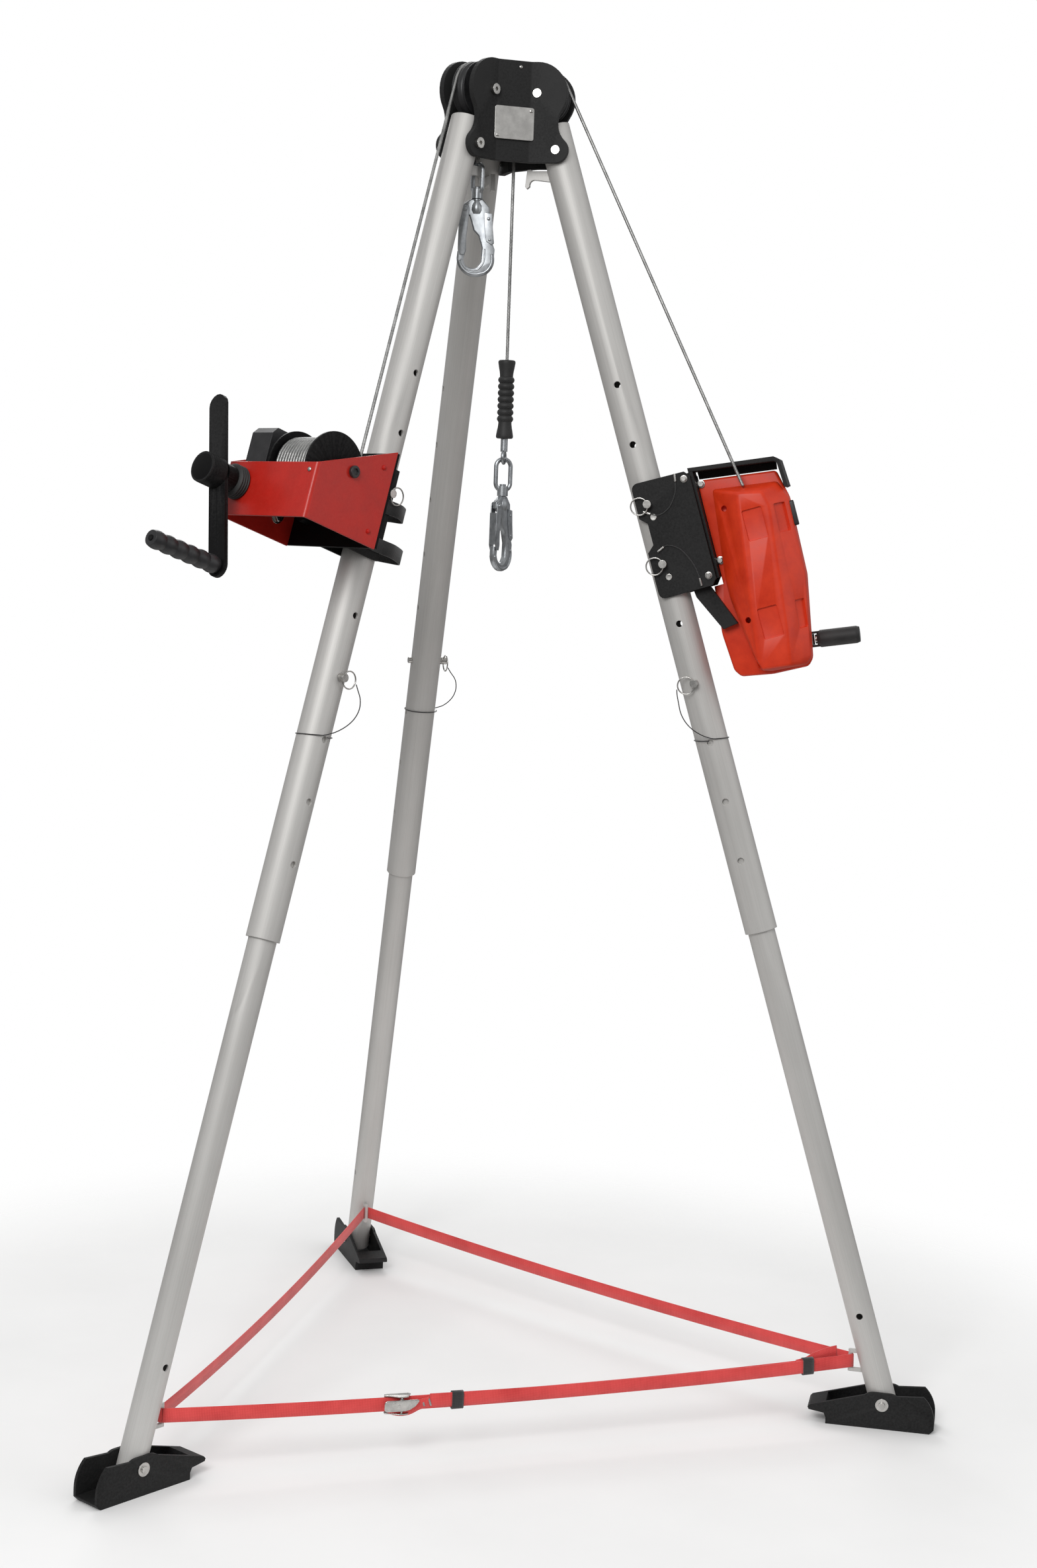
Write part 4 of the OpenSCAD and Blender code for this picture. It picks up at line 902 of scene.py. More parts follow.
@dataclass
class Cables:
    """Winch cable, arrester cable and the layer wound on the drum."""

    drum_x: float = 162.0
    drum_z: float = -676.0
    drum_y0: float = -26.0
    drum_len: float = 88.0
    core_r: float = 52.0
    turns: int = 12
    per_turn: int = 24
    lift: float = 0.5
    side_gap: float = 0.7
    cable_in: Triple = (175.0, -31.0, -673.0)
    drop_end: float = 1784.7

    def wind_point(self, i: int) -> Triple:
        """Point of the winding in the left leg's frame."""
        r = self.core_r + PLAN.cable_d / 2 + self.lift
        pitch = (self.drum_len - PLAN.cable_d - 2 * self.side_gap) / self.turns
        a = math.radians(180 + 360 / self.per_turn * (self.per_turn * self.turns - i))
        y = self.drum_y0 + PLAN.cable_d / 2 + self.side_gap + pitch * i / self.per_turn
        return (self.drum_x + r * math.cos(a), y, self.drum_z + r * math.sin(a))

    @staticmethod
    def over(start: Triple, y: float, down: list[Triple]) -> list[Triple]:
        """Route over a pulley in a leg's plane: r, offset, height above the hinge.

        Args:
            start: Where the cable comes from.
            y: Offset of the groove.
            down: Points after the pulley.

        Returns:
            The route's points.
        """
        dr, dz = start[0] - PLAN.axle_r, start[2] - PLAN.axle_h
        first = math.atan2(dz, dr) + math.acos(PLAN.wrap_r / math.hypot(dr, dz))

        def at(a: float) -> Triple:
            return (PLAN.axle_r + PLAN.wrap_r * math.cos(a), y, PLAN.axle_h + PLAN.wrap_r * math.sin(a))

        arc = [at(first + (math.pi - first) * i / 24) for i in range(25)]
        return [start, *arc, *down]

    @staticmethod
    def in_plane(p: Triple) -> Triple:
        """Leg-frame point in the leg's upright plane, height above the hinge."""
        return (PLAN.hinge_r + p[0] * PLAN.cos - p[2] * PLAN.sin, p[1], p[0] * PLAN.sin + p[2] * PLAN.cos)

    def build(self, finishes: Finishes, bumper: Piece) -> None:
        """Args:
            finishes: The part's materials.
            bumper: Rubber piece that hangs on the arrester's cable.
        """
        steel = finishes.of(Coat.ROPE)
        hz = PLAN.hinge_z
        steps = self.per_turn * self.turns
        last = self.wind_point(steps)
        take_off = (last[0], last[1], last[2] + PLAN.cable_d + 0.6)
        inner = PLAN.axle_r - PLAN.wrap_r
        park_r, park_z = PLAN.park_r, PLAN.park_z
        down = [(inner, -PLAN.groove_y, PLAN.axle_h - 10), (24, -PLAN.groove_y, 64), (36, -6, 30),
                (50, -3, 4), (park_r - 2, -1, park_z + 32), (park_r, 0, park_z + 17),
                (park_r, 0, park_z + 8.4)]
        route = [PLAN.plane(Leg.LEFT, r, y, z + hz)
                 for r, y, z in self.over(self.in_plane(take_off), -PLAN.groove_y, down)]
        winch = WireRope("winch_rope", route)
        rope = winch.build(steel)
        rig.replaces(rope, "winch_cable")
        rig.blend(rope, "head", "leg_left", start=PLAN.plane(Leg.LEFT, 60, 0, hz + 80),
                 end=PLAN.plane(Leg.LEFT, 60, 0, hz - 20))
        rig.cord(rope, exit=winch.path[0], length=length_of(winch.path), diameter=0.006,
                far_end="fitting", stiffness="stiff", lay="taut", path=winch.path,
                with_pieces=(frame["nodes"]["winch_hook_eye"],))
        drop = (inner, PLAN.groove_y, self.drop_end - hz)
        route = [PLAN.plane(Leg.RIGHT, r, y, z + hz)
                 for r, y, z in self.over(self.in_plane(self.cable_in), PLAN.groove_y,
                                          [(inner, PLAN.groove_y, 40), drop])]
        arrest = WireRope("arrester_rope", route)
        rope = arrest.build(steel)
        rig.replaces(rope, "arrester_cable")
        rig.blend(rope, "head", "leg_right", start=PLAN.plane(Leg.RIGHT, 85, 0, hz + 90),
                 end=PLAN.plane(Leg.RIGHT, 140, 0, hz + 90))
        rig.cord(rope, exit=arrest.path[0], length=length_of(arrest.path), diameter=0.006,
                far_end="fitting", stiffness="stiff", lay="taut", path=arrest.path,
                with_pieces=(bumper, frame["nodes"]["arrester_link"]))
        wound = [PLAN.leg(Leg.LEFT, *self.wind_point(i)) for i in range(steps + 1)]
        wound.append(PLAN.leg(Leg.LEFT, last[0], last[1], last[2] + PLAN.cable_d))
        layer = WireRope("drum_rope", wound).build(steel)
        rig.replaces(layer, "drum_cable")
        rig.ride(layer, "drum")


@dataclass
class Lanyards:
    """Thin black cords from each lock pin's ring to a loop round the tube."""

    radius: float = 1.0
    loop_drop: float = 105.0
    loop_points: int = 24
    off_tube: float = 0.3
    start_lift: float = 3.4
    end_lift: float = 2.8
    route: Route = ((-33.6, 38, -3), (-34.5, 44, -12), (-34, 56, -28), (-34, 60, -46), (-30, 58, -64),
                    (-22, 52, -80), (-10, 44, -94), (0, 36, -102))

    def points(self, leg: Leg) -> list[Vector]:
        """Route of one lanyard in the row frame."""
        loop = []
        for i in range(1, self.loop_points + 1):
            done = math.radians(360 / self.loop_points * i)
            a = math.pi / 2 - done
            lift = self.start_lift * max(0, 1 - i / 4) + self.end_lift * max(0, i / 4 - 5)
            r = PLAN.outer_d / 2 + self.radius + self.off_tube + lift
            loop.append((r * math.cos(a), r * math.sin(a), -self.loop_drop - 6 * math.sin(done) - i * 0.15))
        hand = 1 if leg is Leg.LEFT else -1
        return [PLAN.leg(leg, x, hand * y, z - PLAN.pin_drop) for x, y, z in (*self.route, *loop)]

    def build(self, finishes: Finishes) -> None:
        """Make one lanyard on each leg."""
        for leg in Leg:
            path = even(rounded(self.points(leg), 4), 0.003)
            r = self.radius * MM
            name = leg.name.lower()
            cord = sweep(f"lanyard_cord_{name}", path, lambda i, _d: circle(r, 8, 0.5 * i),
                         Vector((0.3, 0.2, 1)))
            dress(cord, finishes.of(Coat.BLACK_WEB))
            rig.slot(cord, Coat.BLACK_WEB.value)
            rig.replaces(cord, f"lanyard_{name}")
            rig.blend(cord, leg.body, f"lock_pin_{name}", start=path[-30], end=path[0])
            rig.cord(cord, exit=path[0], length=length_of(path), diameter=2 * r, far_end="object",
                    stiffness="limp", lay="loose", path=path)


@dataclass
class FootStrap:
    """Red webbing round the three eyes, sagging between them."""

    eye_up: float = 73.0
    eye_off: float = 17.0
    eye_bar: float = 8.0
    tube_d: float = 49.9
    sag: Triple = (14.0, 12.0, 20.0)
    gap: float = 0.4
    run_points: int = 41
    turn_points: int = 10

    @property
    def eye_r(self) -> float:
        """Distance of the eye bars from the middle axis."""
        return PLAN.foot_r - self.eye_up * PLAN.sin - self.tube_d / 2 - self.eye_off

    @property
    def eye_z(self) -> float:
        """Height of the strap's middle line."""
        return PLAN.foot_h + self.eye_up * PLAN.cos

    def route(self) -> list[Vector]:
        """Middle line of the strap, once round from the left end of the front run."""
        r = self.eye_bar / 2 + self.gap + PLAN.web_t / 2
        corners = [(Leg.RIGHT, 270.0, 390.0), (Leg.BACK, 390.0, 510.0), (Leg.LEFT, 510.0, 624.0)]
        points: list[Vector] = []
        before = PLAN.plane(Leg.LEFT, self.eye_r, 0, self.eye_z) + Vector((0, -r * MM, 0))
        for k, (leg, a0, a1) in enumerate(corners):
            c = PLAN.plane(leg, self.eye_r, 0, self.eye_z)
            turn = [c + Vector((x, y, 0)) * MM for x, y in arc(0, 0, r, a0, a1, self.turn_points)]
            for i in range(self.run_points):
                t = i / self.run_points
                p = before.lerp(turn[0], t)
                p.z -= self.sag[k] * MM * 4 * t * (1 - t)
                points.append(p)
            points.extend(turn)
            before = turn[-1]
        return points

    def build(self, finishes: Finishes) -> None:
        path = even(self.route(), 0.008)
        t, w = PLAN.web_t * MM / 2, PLAN.web_w * MM / 2
        flat = band(t, w, 0.0008)
        strap = sweep("foot_webbing", path, lambda _i, _d: flat, Vector((0, 0, 1)))
        dress(strap, finishes.of(Coat.RED_WEB))
        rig.slot(strap, Coat.RED_WEB.value)
        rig.replaces(strap, "foot_strap")
        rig.ride(strap, "head")


class Carried:
    """Finishes of the CAD nodes that stay in view."""

    def __init__(self, finishes: Finishes) -> None:
        """Keep the finishes.

        Args:
            finishes: The part's materials.
        """
        self.finishes = finishes

    def dress(self) -> None:
        """Give each node the material of its record slot."""
        for entry in frame["record"]["subparts"]:
            node = entry["node"]
            coat = Coat(entry["material_slot"])
            leg = next((leg for leg in Leg if node.endswith(leg.name.lower())), None)
            material = self.finishes.tubes[leg] if coat is Coat.TUBE and leg else self.finishes.of(coat)
            dress(frame["nodes"][node], material)


class Shape(Enum):
    """Outline of one ring of a turned piece."""

    ROUND = "round"
    HEX = "hex"


@dataclass(frozen=True)
class Ring:
    """One ring of a turned piece, in millimetres along and round its axis."""

    z: float
    r: float
    shape: Shape = Shape.ROUND

    def radius(self, angle: float) -> float:
        """Radius at an angle; a hexagon's r is half its width across flats."""
        if self.shape is Shape.ROUND:
            return self.r
        return self.r / math.cos((angle % (math.pi / 3)) - math.pi / 6)


def turned(name: str, rings: Sequence[Ring], place: Matrix, sides: int = 36) -> Piece:
    """Piece turned about the z axis of a placing matrix.

    Args:
        name: Piece name.
        rings: Rings from the first end to the last; both ends are closed.
        place: Matrix from the piece's own frame in metres to the row frame.
        sides: Points in each ring.

    Returns:
        The piece.
    """
    verts = []
    for ring in rings:
        for k in range(sides):
            a = 2 * math.pi * k / sides
            r = ring.radius(a) * MM
            verts.append(place @ Vector((r * math.cos(a), r * math.sin(a), ring.z * MM)))
    piece = build_mesh(name, verts, skin(len(rings), sides))
    crease(piece)
    return piece


def crease(piece: Piece, degrees: float = 32.0) -> None:
    """Keep edges sharper than an angle sharp under smooth shading."""
    work = bmesh.new()
    work.from_mesh(piece.data)
    for edge in work.edges:
        edge.smooth = len(edge.link_faces) == 2 and edge.calc_face_angle(0.0) < math.radians(degrees)
    work.to_mesh(piece.data)
    work.free()


def axis_matrix(at: Vector, along: Vector, up: Vector = Vector((0, 0, 1))) -> Matrix:
    """Matrix at a point whose z axis lies along a direction."""
    z = along.normalized()
    x = up.cross(z)
    if x.length < 1e-6:
        x = Vector((1, 0, 0)).cross(z)
    x.normalize()
    y = z.cross(x)
    return Matrix.Translation(at) @ Matrix((x, y, z)).transposed().to_4x4()


class Hardware:
    """Screws, rivets and discs that ride on a body."""

    def __init__(self, finishes: Finishes) -> None:
        """Keep the finishes.

        Args:
            finishes: The part's materials.
        """
        self.finishes = finishes
        self.count = 0

    def fix(self, piece: Piece, coat: Coat, body: str) -> Piece:
        """Finish a piece, name its slot and tie it to a body."""
        dress(piece, self.finishes.of(coat))
        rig.slot(piece, coat.value)
        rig.ride(piece, body)
        self.count += 1
        return piece

    def dome(self, name: str, place: Matrix, d: float, h: float, coat: Coat, body: str) -> Piece:
        """Low domed head with a chamfered foot."""
        r = d / 2
        rings = [Ring(-0.6, r * 0.6), Ring(0, r * 0.96), Ring(h * 0.25, r), Ring(h * 0.6, r * 0.92),
                 Ring(h * 0.86, r * 0.66), Ring(h, r * 0.3)]
        return self.fix(turned(name, rings, place), coat, body)

    def disc(self, name: str, place: Matrix, d: float, h: float, coat: Coat, body: str) -> Piece:
        """Flat pin end with a small chamfer."""
        r = d / 2
        return self.fix(turned(name, [Ring(-0.6, r), Ring(h - 0.6, r), Ring(h, r - 0.7),
                                      Ring(h - 0.15, r * 0.3)], place), coat, body)

    def hex_head(self, name: str, place: Matrix, flats: float, h: float, coat: Coat, body: str) -> Piece:
        """Hexagon head on a washer."""
        r = flats / 2
        rings = [Ring(-0.4, r * 1.5), Ring(1.2, r * 1.5), Ring(1.4, r * 1.4), Ring(1.4, r, Shape.HEX),
                 Ring(h * 0.9, r, Shape.HEX), Ring(h, r * 0.94), Ring(h, r * 0.4)]
        return self.fix(turned(name, rings, place), coat, body)

    def socket(self, name: str, place: Matrix, d: float, h: float, coat: Coat, body: str) -> Piece:
        """Round head with a hexagon socket."""
        r = d / 2
        rings = [Ring(-0.4, r), Ring(h - 1, r), Ring(h, r - 1), Ring(h, r * 0.52, Shape.HEX),
                 Ring(h * 0.45, r * 0.5, Shape.HEX), Ring(h * 0.4, r * 0.1)]
        return self.fix(turned(name, rings, place), coat, body)


def slab(name: str, outline: Points, t: float, edge: float, place: Matrix) -> Piece:
    """Flat plate from a convex outline with softened edges.

    Args:
        name: Piece name.
        outline: Corner points in millimetres, in the placing matrix's x-y plane.
        t: Thickness along z, from 0.
        edge: Size of the softened edge.
        place: Placing matrix.

    Returns:
        The plate.
    """
    cx = sum(p[0] for p in outline) / len(outline)
    cy = sum(p[1] for p in outline) / len(outline)

    def inset(p: Pair, by: float) -> Pair:
        d = math.hypot(p[0] - cx, p[1] - cy)
        k = (d - by) / d if d else 1.0
        return (cx + (p[0] - cx) * k, cy + (p[1] - cy) * k)

    levels = [(0.0, edge), (edge, 0.0), (t - edge, 0.0), (t, edge)]
    verts = [place @ (Vector((*inset(p, by), z)) * MM) for z, by in levels for p in outline]
    piece = build_mesh(name, verts, skin(len(levels), len(outline)))
    crease(piece, 40.0)
    return piece


def round_rect(w: float, h: float, r: float, per: int = 6) -> Outline:
    """Corner points of a rounded rectangle about the origin."""
    points = []
    for cx, cy, a0 in ((w / 2 - r, h / 2 - r, 0), (-w / 2 + r, h / 2 - r, 90),
                       (-w / 2 + r, -h / 2 + r, 180), (w / 2 - r, -h / 2 + r, 270)):
        for i in range(per + 1):
            a = math.radians(a0 + 90 * i / per)
            points.append((cx + r * math.cos(a), cy + r * math.sin(a)))
    return points


def arc(cx: float, cy: float, r: float, a0: float, a1: float, n: int) -> Outline:
    """Points on an arc, angles in degrees."""
    angles = [math.radians(a0 + (a1 - a0) * i / n) for i in range(n + 1)]
    return [(cx + r * math.cos(a), cy + r * math.sin(a)) for a in angles]


def drawn_in(outline: Points, by: float) -> Outline:
    """Outline moved inwards by a distance, corner by corner."""
    area = sum(a[0] * b[1] - b[0] * a[1] for a, b in zip(outline, [*outline[1:], outline[0]]))
    hand = 1.0 if area > 0 else -1.0
    out: Outline = []
    for i, p in enumerate(outline):
        a, b = Vector(outline[i - 1]), Vector(outline[(i + 1) % len(outline)])
        d1, d2 = (Vector(p) - a).normalized(), (b - Vector(p)).normalized()
        n1, n2 = Vector((d1.y, -d1.x)) * hand, Vector((d2.y, -d2.x)) * hand
        mitre = (n1 + n2) / max(0.5, 1 + n1.dot(n2))
        out.append((p[0] - mitre.x * by, p[1] - mitre.y * by))
    return out


def cast(name: str, outline: Points, t: float, soft: float, place: Matrix, steps: int = 4) -> Piece:
    """Flat piece of any outline with rounded edges, centred on the placing matrix's x-y plane.

    Args:
        name: Piece name.
        outline: Corner points in millimetres.
        t: Thickness.
        soft: Radius of the rounded edges.
        place: Placing matrix.
        steps: Facets of each rounded edge.

    Returns:
        The piece.
    """
    turns = [math.pi / 2 * i / steps for i in range(steps + 1)]
    levels = [(soft * (1 - math.cos(a)) - t / 2, soft * (1 - math.sin(a))) for a in turns]
    levels += [(-z, by) for z, by in reversed(levels)]
    verts = [place @ (Vector((*p, z)) * MM) for z, by in levels for p in drawn_in(outline, by)]
    piece = build_mesh(name, verts, skin(len(levels), len(outline)))
    crease(piece, 35.0)
    return piece


def settled(piece: Piece) -> None:
    """Turn a piece's modifiers into plain mesh."""
    mesh = bpy.data.meshes.new_from_object(piece.evaluated_get(bpy.context.evaluated_depsgraph_get()))
    piece.modifiers.clear()
    piece.data = mesh


@dataclass
class SnapHook:
    """Forged hook on its swivel stem, with its gate and the lock lever on its back."""

    name: str
    origin: Vector
    turn: float
    grow: float = 140 / 120
    t: float = 10.0
    soft: float = 2.6
    rim_off: float = 3.6
    lever_t: float = 1.8
    gate_in: float = 5.4
    gate_t: float = 2.0
    pivot: Pair = (-18.0, -16.0)

    @property
    def place(self) -> Matrix:
        """Frame of the hook, z up."""
        return Matrix.Translation(self.origin) @ Matrix.Rotation(math.radians(self.turn), 4, "Z")

    def flat(self, off: float) -> Matrix:
        """Frame whose x-y plane is the hook's own plane, moved sideways."""
        return self.place @ Matrix.Translation((0, off * MM, 0)) @ Matrix.Rotation(math.pi / 2, 4, "X")

    def grown(self, points: Points) -> Outline:
        """Points at the hook's real size."""
        return [(x * self.grow, y * self.grow) for x, y in points]

    def body_outline(self) -> Outline:
        """Outline of the forging."""
        return self.grown([(-9, 0), (9, 0), (20, -12), (23, -46), (26, -66), (30, -76),
                           *arc(3, -92, 27, 12, -60, 12), *arc(0, -90, 29, -72, -178, 16),
                           (-28, -80), (-21, -80), *arc(-4, -92, 14, 160, 300, 14), (9, -96), (10, -74),
                           (4, -56), (-4, -48), (-8, -34), (-11, -26), (-24, -20), (-24, -10)])

    def build(self, hardware: Hardware) -> None:
        """Make the forging, its rims, the gate and the lever."""
        body, gate = f"{self.name}_hook", f"{self.name}_hook_gate"
        forging = cast(f"{body}_forging", self.body_outline(), self.t, self.soft, self.flat(0))
        hardware.fix(forging, Coat.FORGED, body)
        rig.replaces(forging, body)
        stem = [Ring(-5, 6.0), Ring(-3, 8.0), Ring(-0.6, 8.0), Ring(0, 7.4), Ring(0.2, 5.0),
                Ring(18.3, 5.0), Ring(18.4, 5.4), Ring(19, 6.0), Ring(21.6, 6.0), Ring(22.4, 5.0)]
        hardware.fix(turned(f"{body}_stem", stem, self.place, 32), Coat.FORGED, body)
        neck = [Ring(-26, 8.0), Ring(-20, 10.4), Ring(-12, 10.0), Ring(-6, 7.4), Ring(-2.5, 6.6)]
        hardware.fix(turned(f"{body}_neck", neck, self.place, 32), Coat.FORGED, body)
        rims = (([*arc(3, -92, 23.2, 20, -60, 10), *arc(0, -90, 25.2, -72, -170, 12)], 3.0),
                ([(14.5, -76), (13.5, -96), *arc(-4, -92, 17.6, 300, 182, 12)], 2.2))
        for side in (-1, 1):
            hand = "near" if side < 0 else "far"
            for n, (line, r) in enumerate(rims):
                sheet = self.flat(side * self.rim_off)
                points = [sheet @ (Vector((x, y, 0)) * MM) for x, y in self.grown(line)]
                route = even(rounded(points, 3), 0.002)
                bead = circle(r * MM, 10)
                hardware.fix(sweep(f"{body}_rim_{n}_{hand}", route, lambda _i, _d, bead=bead: bead,
                                   Vector((0.3, 0.2, 1))), Coat.FORGED, body)
            lever = self.grown([(12, -20), (24.4, -22), (26, -44), (28.6, -66), (25, -70), (16, -64),
                                (13, -42)])
            hardware.fix(cast(f"{body}_lever_{hand}", lever, self.lever_t, 0.7,
                              self.flat(side * (self.t / 2 + 0.8))), Coat.FORGED, body)
            cheek = [*arc(self.pivot[0] * self.grow, self.pivot[1] * self.grow, 8, 0, 180, 12),
                     *self.grown([(-27.5, -60), (-27.5, -78), (-24, -86), (-17, -86), (-14.5, -78),
                                  (-15, -60)])]
            plate = cast(f"{gate}_cheek_{hand}", cheek, self.gate_t, 0.8,
                         self.flat(side * (self.gate_in + self.gate_t / 2)))
            hardware.fix(plate, Coat.FORGED, gate)
            if side < 0:
                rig.replaces(plate, gate)
            y_axis = self.place.to_3x3() @ Vector((0, side, 0))
            out = self.gate_in + self.gate_t
            flank = self.t / 2 + self.lever_t - 0.1
            spots = ((self.pivot, out, 8.0, gate), ((19.0, -30.0), flank, 6.0, body),
                     ((21.5, -62.0), flank, 5.0, body))
            for n, ((x, z), off, d, rides) in enumerate(spots):
                at = self.place @ (Vector((x * self.grow, side * off, z * self.grow)) * MM)
                hardware.dome(f"{body}_rivet_{n}_{hand}", axis_matrix(at, y_axis), d, 2.0, Coat.FORGED,
                              rides)
        wide = 2 * (self.gate_in + self.gate_t)
        back = self.grown([(-27.5, -77), (-25.6, -77), (-25.6, -27), (-27.5, -27)])
        hardware.fix(cast(f"{gate}_back", back, wide, 0.8, self.flat(0)), Coat.FORGED, gate)


@dataclass
class Bumper:
    """Ribbed rubber bumper on the arrester's cable, flared at both ends."""

    top: float = 1938.0
    length: float = 143.0
    end_r: float = 16.0
    neck_r: float = 12.2
    rib_r: float = 15.2
    valley_r: float = 11.8
    ribs: int = 7
    flare: float = 30.0

    def build(self, hardware: Hardware) -> Piece:
        """Turn the bumper and return it."""
        low = [Ring(0, 6.0), Ring(0, self.end_r - 2), Ring(1.6, self.end_r - 0.4), Ring(4, self.end_r),
               Ring(8, self.end_r - 0.6), Ring(14, 14.4), Ring(20, 13.2), Ring(26, self.neck_r + 0.2),
               Ring(self.flare, self.neck_r)]
        pitch = (self.length - 2 * self.flare) / self.ribs
        mid = [Ring(self.flare + pitch * (i + k / 10),
                    self.valley_r + (self.rib_r - self.valley_r) * math.sin(math.pi * k / 10) ** 0.8)
               for i in range(self.ribs) for k in range(1, 11)]
        high = [Ring(self.length - ring.z, ring.r) for ring in reversed(low)]
        place = Matrix.Translation(PLAN.plane(Leg.RIGHT, PLAN.axle_r - PLAN.wrap_r, PLAN.groove_y,
                                              self.top - self.length))
        piece = turned("cable_bumper", [*low, *mid, *high], place, 48)
        hardware.fix(piece, Coat.RUBBER, "head")
        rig.replaces(piece, "arrester_bumper")
        return piece


@dataclass
class ArresterShells:
    """Two moulded halves of the arrester's housing, with soft edges, recesses and screw holes."""

    drop: float = -659.0
    seam: float = 0.2
    front: float = 62.0
    back: float = 44.0
    flat_x: float = 92.6
    step: float = 174.0
    front_base: Profile = ((118, -4), (100, -170), (100, -205), (124, -340), (140, -350), (205, -354),
                           (216, -344), (244, -195), (248, -52), (234, -20))
    front_face: Profile = ((164, -24), (166, -118), (124, -342), (182, -348), (190, -293), (215, -61),
                           (208, -34))
    back_base: Profile = ((92.6, 20), (67, -262), (72, -332), (82, -346), (140, -356), (205, -358),
                          (216, -346), (244, -195), (248, -52), (236, 0))
    back_face: Profile = ((104, 8), (84, -262), (84, -318), (140, -340), (198, -342), (228, -196),
                          (234, -50), (226, -8))
    soft: float = 5.0
    front_wall: float = 18.2
    back_wall: float = 20.0
    cutter: float = 20.0
    front_pockets: Profile = ((182, -86), (165, -263))
    screws: Profile = ((132, -44), (126, -250))
    screw_r: float = 5.5
    cable_hole: Triple = (175.0, -31.0, -14.0)
    crank_hole: Pair = (150.0, -304.0)
    crank_hole_r: float = 8.1
    pocket: float = 4.0
    side_pockets: tuple[tuple[Triple, Triple, float], ...] = (
        ((230.5, -40.3, -86.0), (0.802, -0.597, -0.022), 30.0),
        ((220.0, -32.0, -262.0), (0.769, -0.622, -0.145), 24.0))

    def hull(self, name: str, layers: Sequence[tuple[float, Points]], soft: float) -> Piece:
        """Convex form through outlines at given offsets, with rounded edges."""
        work = bmesh.new()
        for y, outline in layers:
            for x, z in outline:
                work.verts.new(PLAN.leg(Leg.RIGHT, x, y, z + self.drop))
        found = bmesh.ops.convex_hull(work, input=work.verts)
        bmesh.ops.delete(work, geom=[v for v in found["geom_interior"]
                                     if isinstance(v, bmesh.types.BMVert)], context="VERTS")
        bmesh.ops.dissolve_limit(work, angle_limit=math.radians(1.5), verts=work.verts, edges=work.edges)
        mesh = bpy.data.meshes.new(name)
        work.to_mesh(mesh)
        work.free()
        piece = bpy.data.objects.new(name, mesh)
        bpy.context.scene.collection.objects.link(piece)
        rounding = piece.modifiers.new("rounding", "BEVEL")
        rounding.width, rounding.segments, rounding.angle_limit = soft * MM, 4, math.radians(7)
        rounding.limit_method = "ANGLE"
        settled(piece)
        return piece

    def carve(self, piece: Piece, cutters: Sequence[Piece]) -> None:
        """Cut pieces out of another, then soften the new edges."""
        for cutter in cutters:
            cut = piece.modifiers.new("cut", "BOOLEAN")
            cut.object, cut.operation, cut.solver = cutter, "DIFFERENCE", "EXACT"
        rim = piece.modifiers.new("rim", "BEVEL")
        rim.width, rim.segments, rim.angle_limit, rim.limit_method = 0.9 * MM, 2, math.radians(42), "ANGLE"
        settled(piece)
        for cutter in cutters:
            bpy.data.objects.remove(cutter)
        for poly in piece.data.polygons:
            poly.use_smooth = True
        crease(piece, 38.0)

    def build(self, hardware: Hardware) -> None:
        """Make both halves."""
        leg = Leg.RIGHT
        turn = PLAN.leg_matrix(leg).to_3x3()
        y_axis, z_axis = turn @ Vector((0, 1, 0)), turn @ Vector((0, 0, 1))

        def at(x: float, y: float, z: float, along: Vector) -> Matrix:
            return axis_matrix(PLAN.leg(leg, x, y, z + self.drop), along, z_axis)

        half = self.hull("housing_front",
                         ((-self.seam, self.front_base), (-self.front_wall, self.front_base),
                          (-self.front, self.front_face)), self.soft)
        out = self.front + self.cutter / 2 - self.pocket
        cutters = [cast(f"pocket_{i}", round_rect(36, 56, 3.0), self.cutter, 0.5, at(x, -out, z, y_axis))
                   for i, (x, z) in enumerate(self.front_pockets)]
        for i, (place, facing, wide) in enumerate(self.side_pockets):
            normal = Vector(facing).normalized()
            x, y, z = Vector(place) + normal * (self.cutter / 2 - self.pocket)
            cutters.append(cast(f"side_pocket_{i}", round_rect(wide, 52, 3.0), self.cutter, 0.5,
                                at(x, y, z, turn @ normal)))
        cutters += [turned(f"screw_hole_{i}", [Ring(-36, self.screw_r), Ring(36, self.screw_r)],
                           at(x, -self.front + 8, z, y_axis), 32)
                    for i, (x, z) in enumerate(self.screws)]
        cutters.append(turned("cable_hole", [Ring(-50, self.screw_r), Ring(50, self.screw_r)],
                              at(*self.cable_hole, z_axis), 32))
        self.carve(half, cutters)
        hardware.fix(half, Coat.ORANGE, leg.body)
        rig.replaces(half, "arrester_front_shell")
        rear = self.hull("housing_back",
                         ((self.seam, self.back_base), (self.back_wall, self.back_base),
                          (self.back, self.back_face)), self.soft)
        recess = cast("bracket_recess", round_rect(self.flat_x, 2 * self.step, 0.5), 4 * self.back, 0.2,
                      at(self.flat_x / 2, self.back, 0, y_axis))
        x, z = self.crank_hole
        bore = [Ring(-20, self.crank_hole_r), Ring(30, self.crank_hole_r)]
        self.carve(rear, [recess, turned("crank_hole", bore, at(x, self.back, z, y_axis), 40)])
        hardware.fix(rear, Coat.ORANGE, leg.body)
        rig.replaces(rear, "arrester_back_shell")


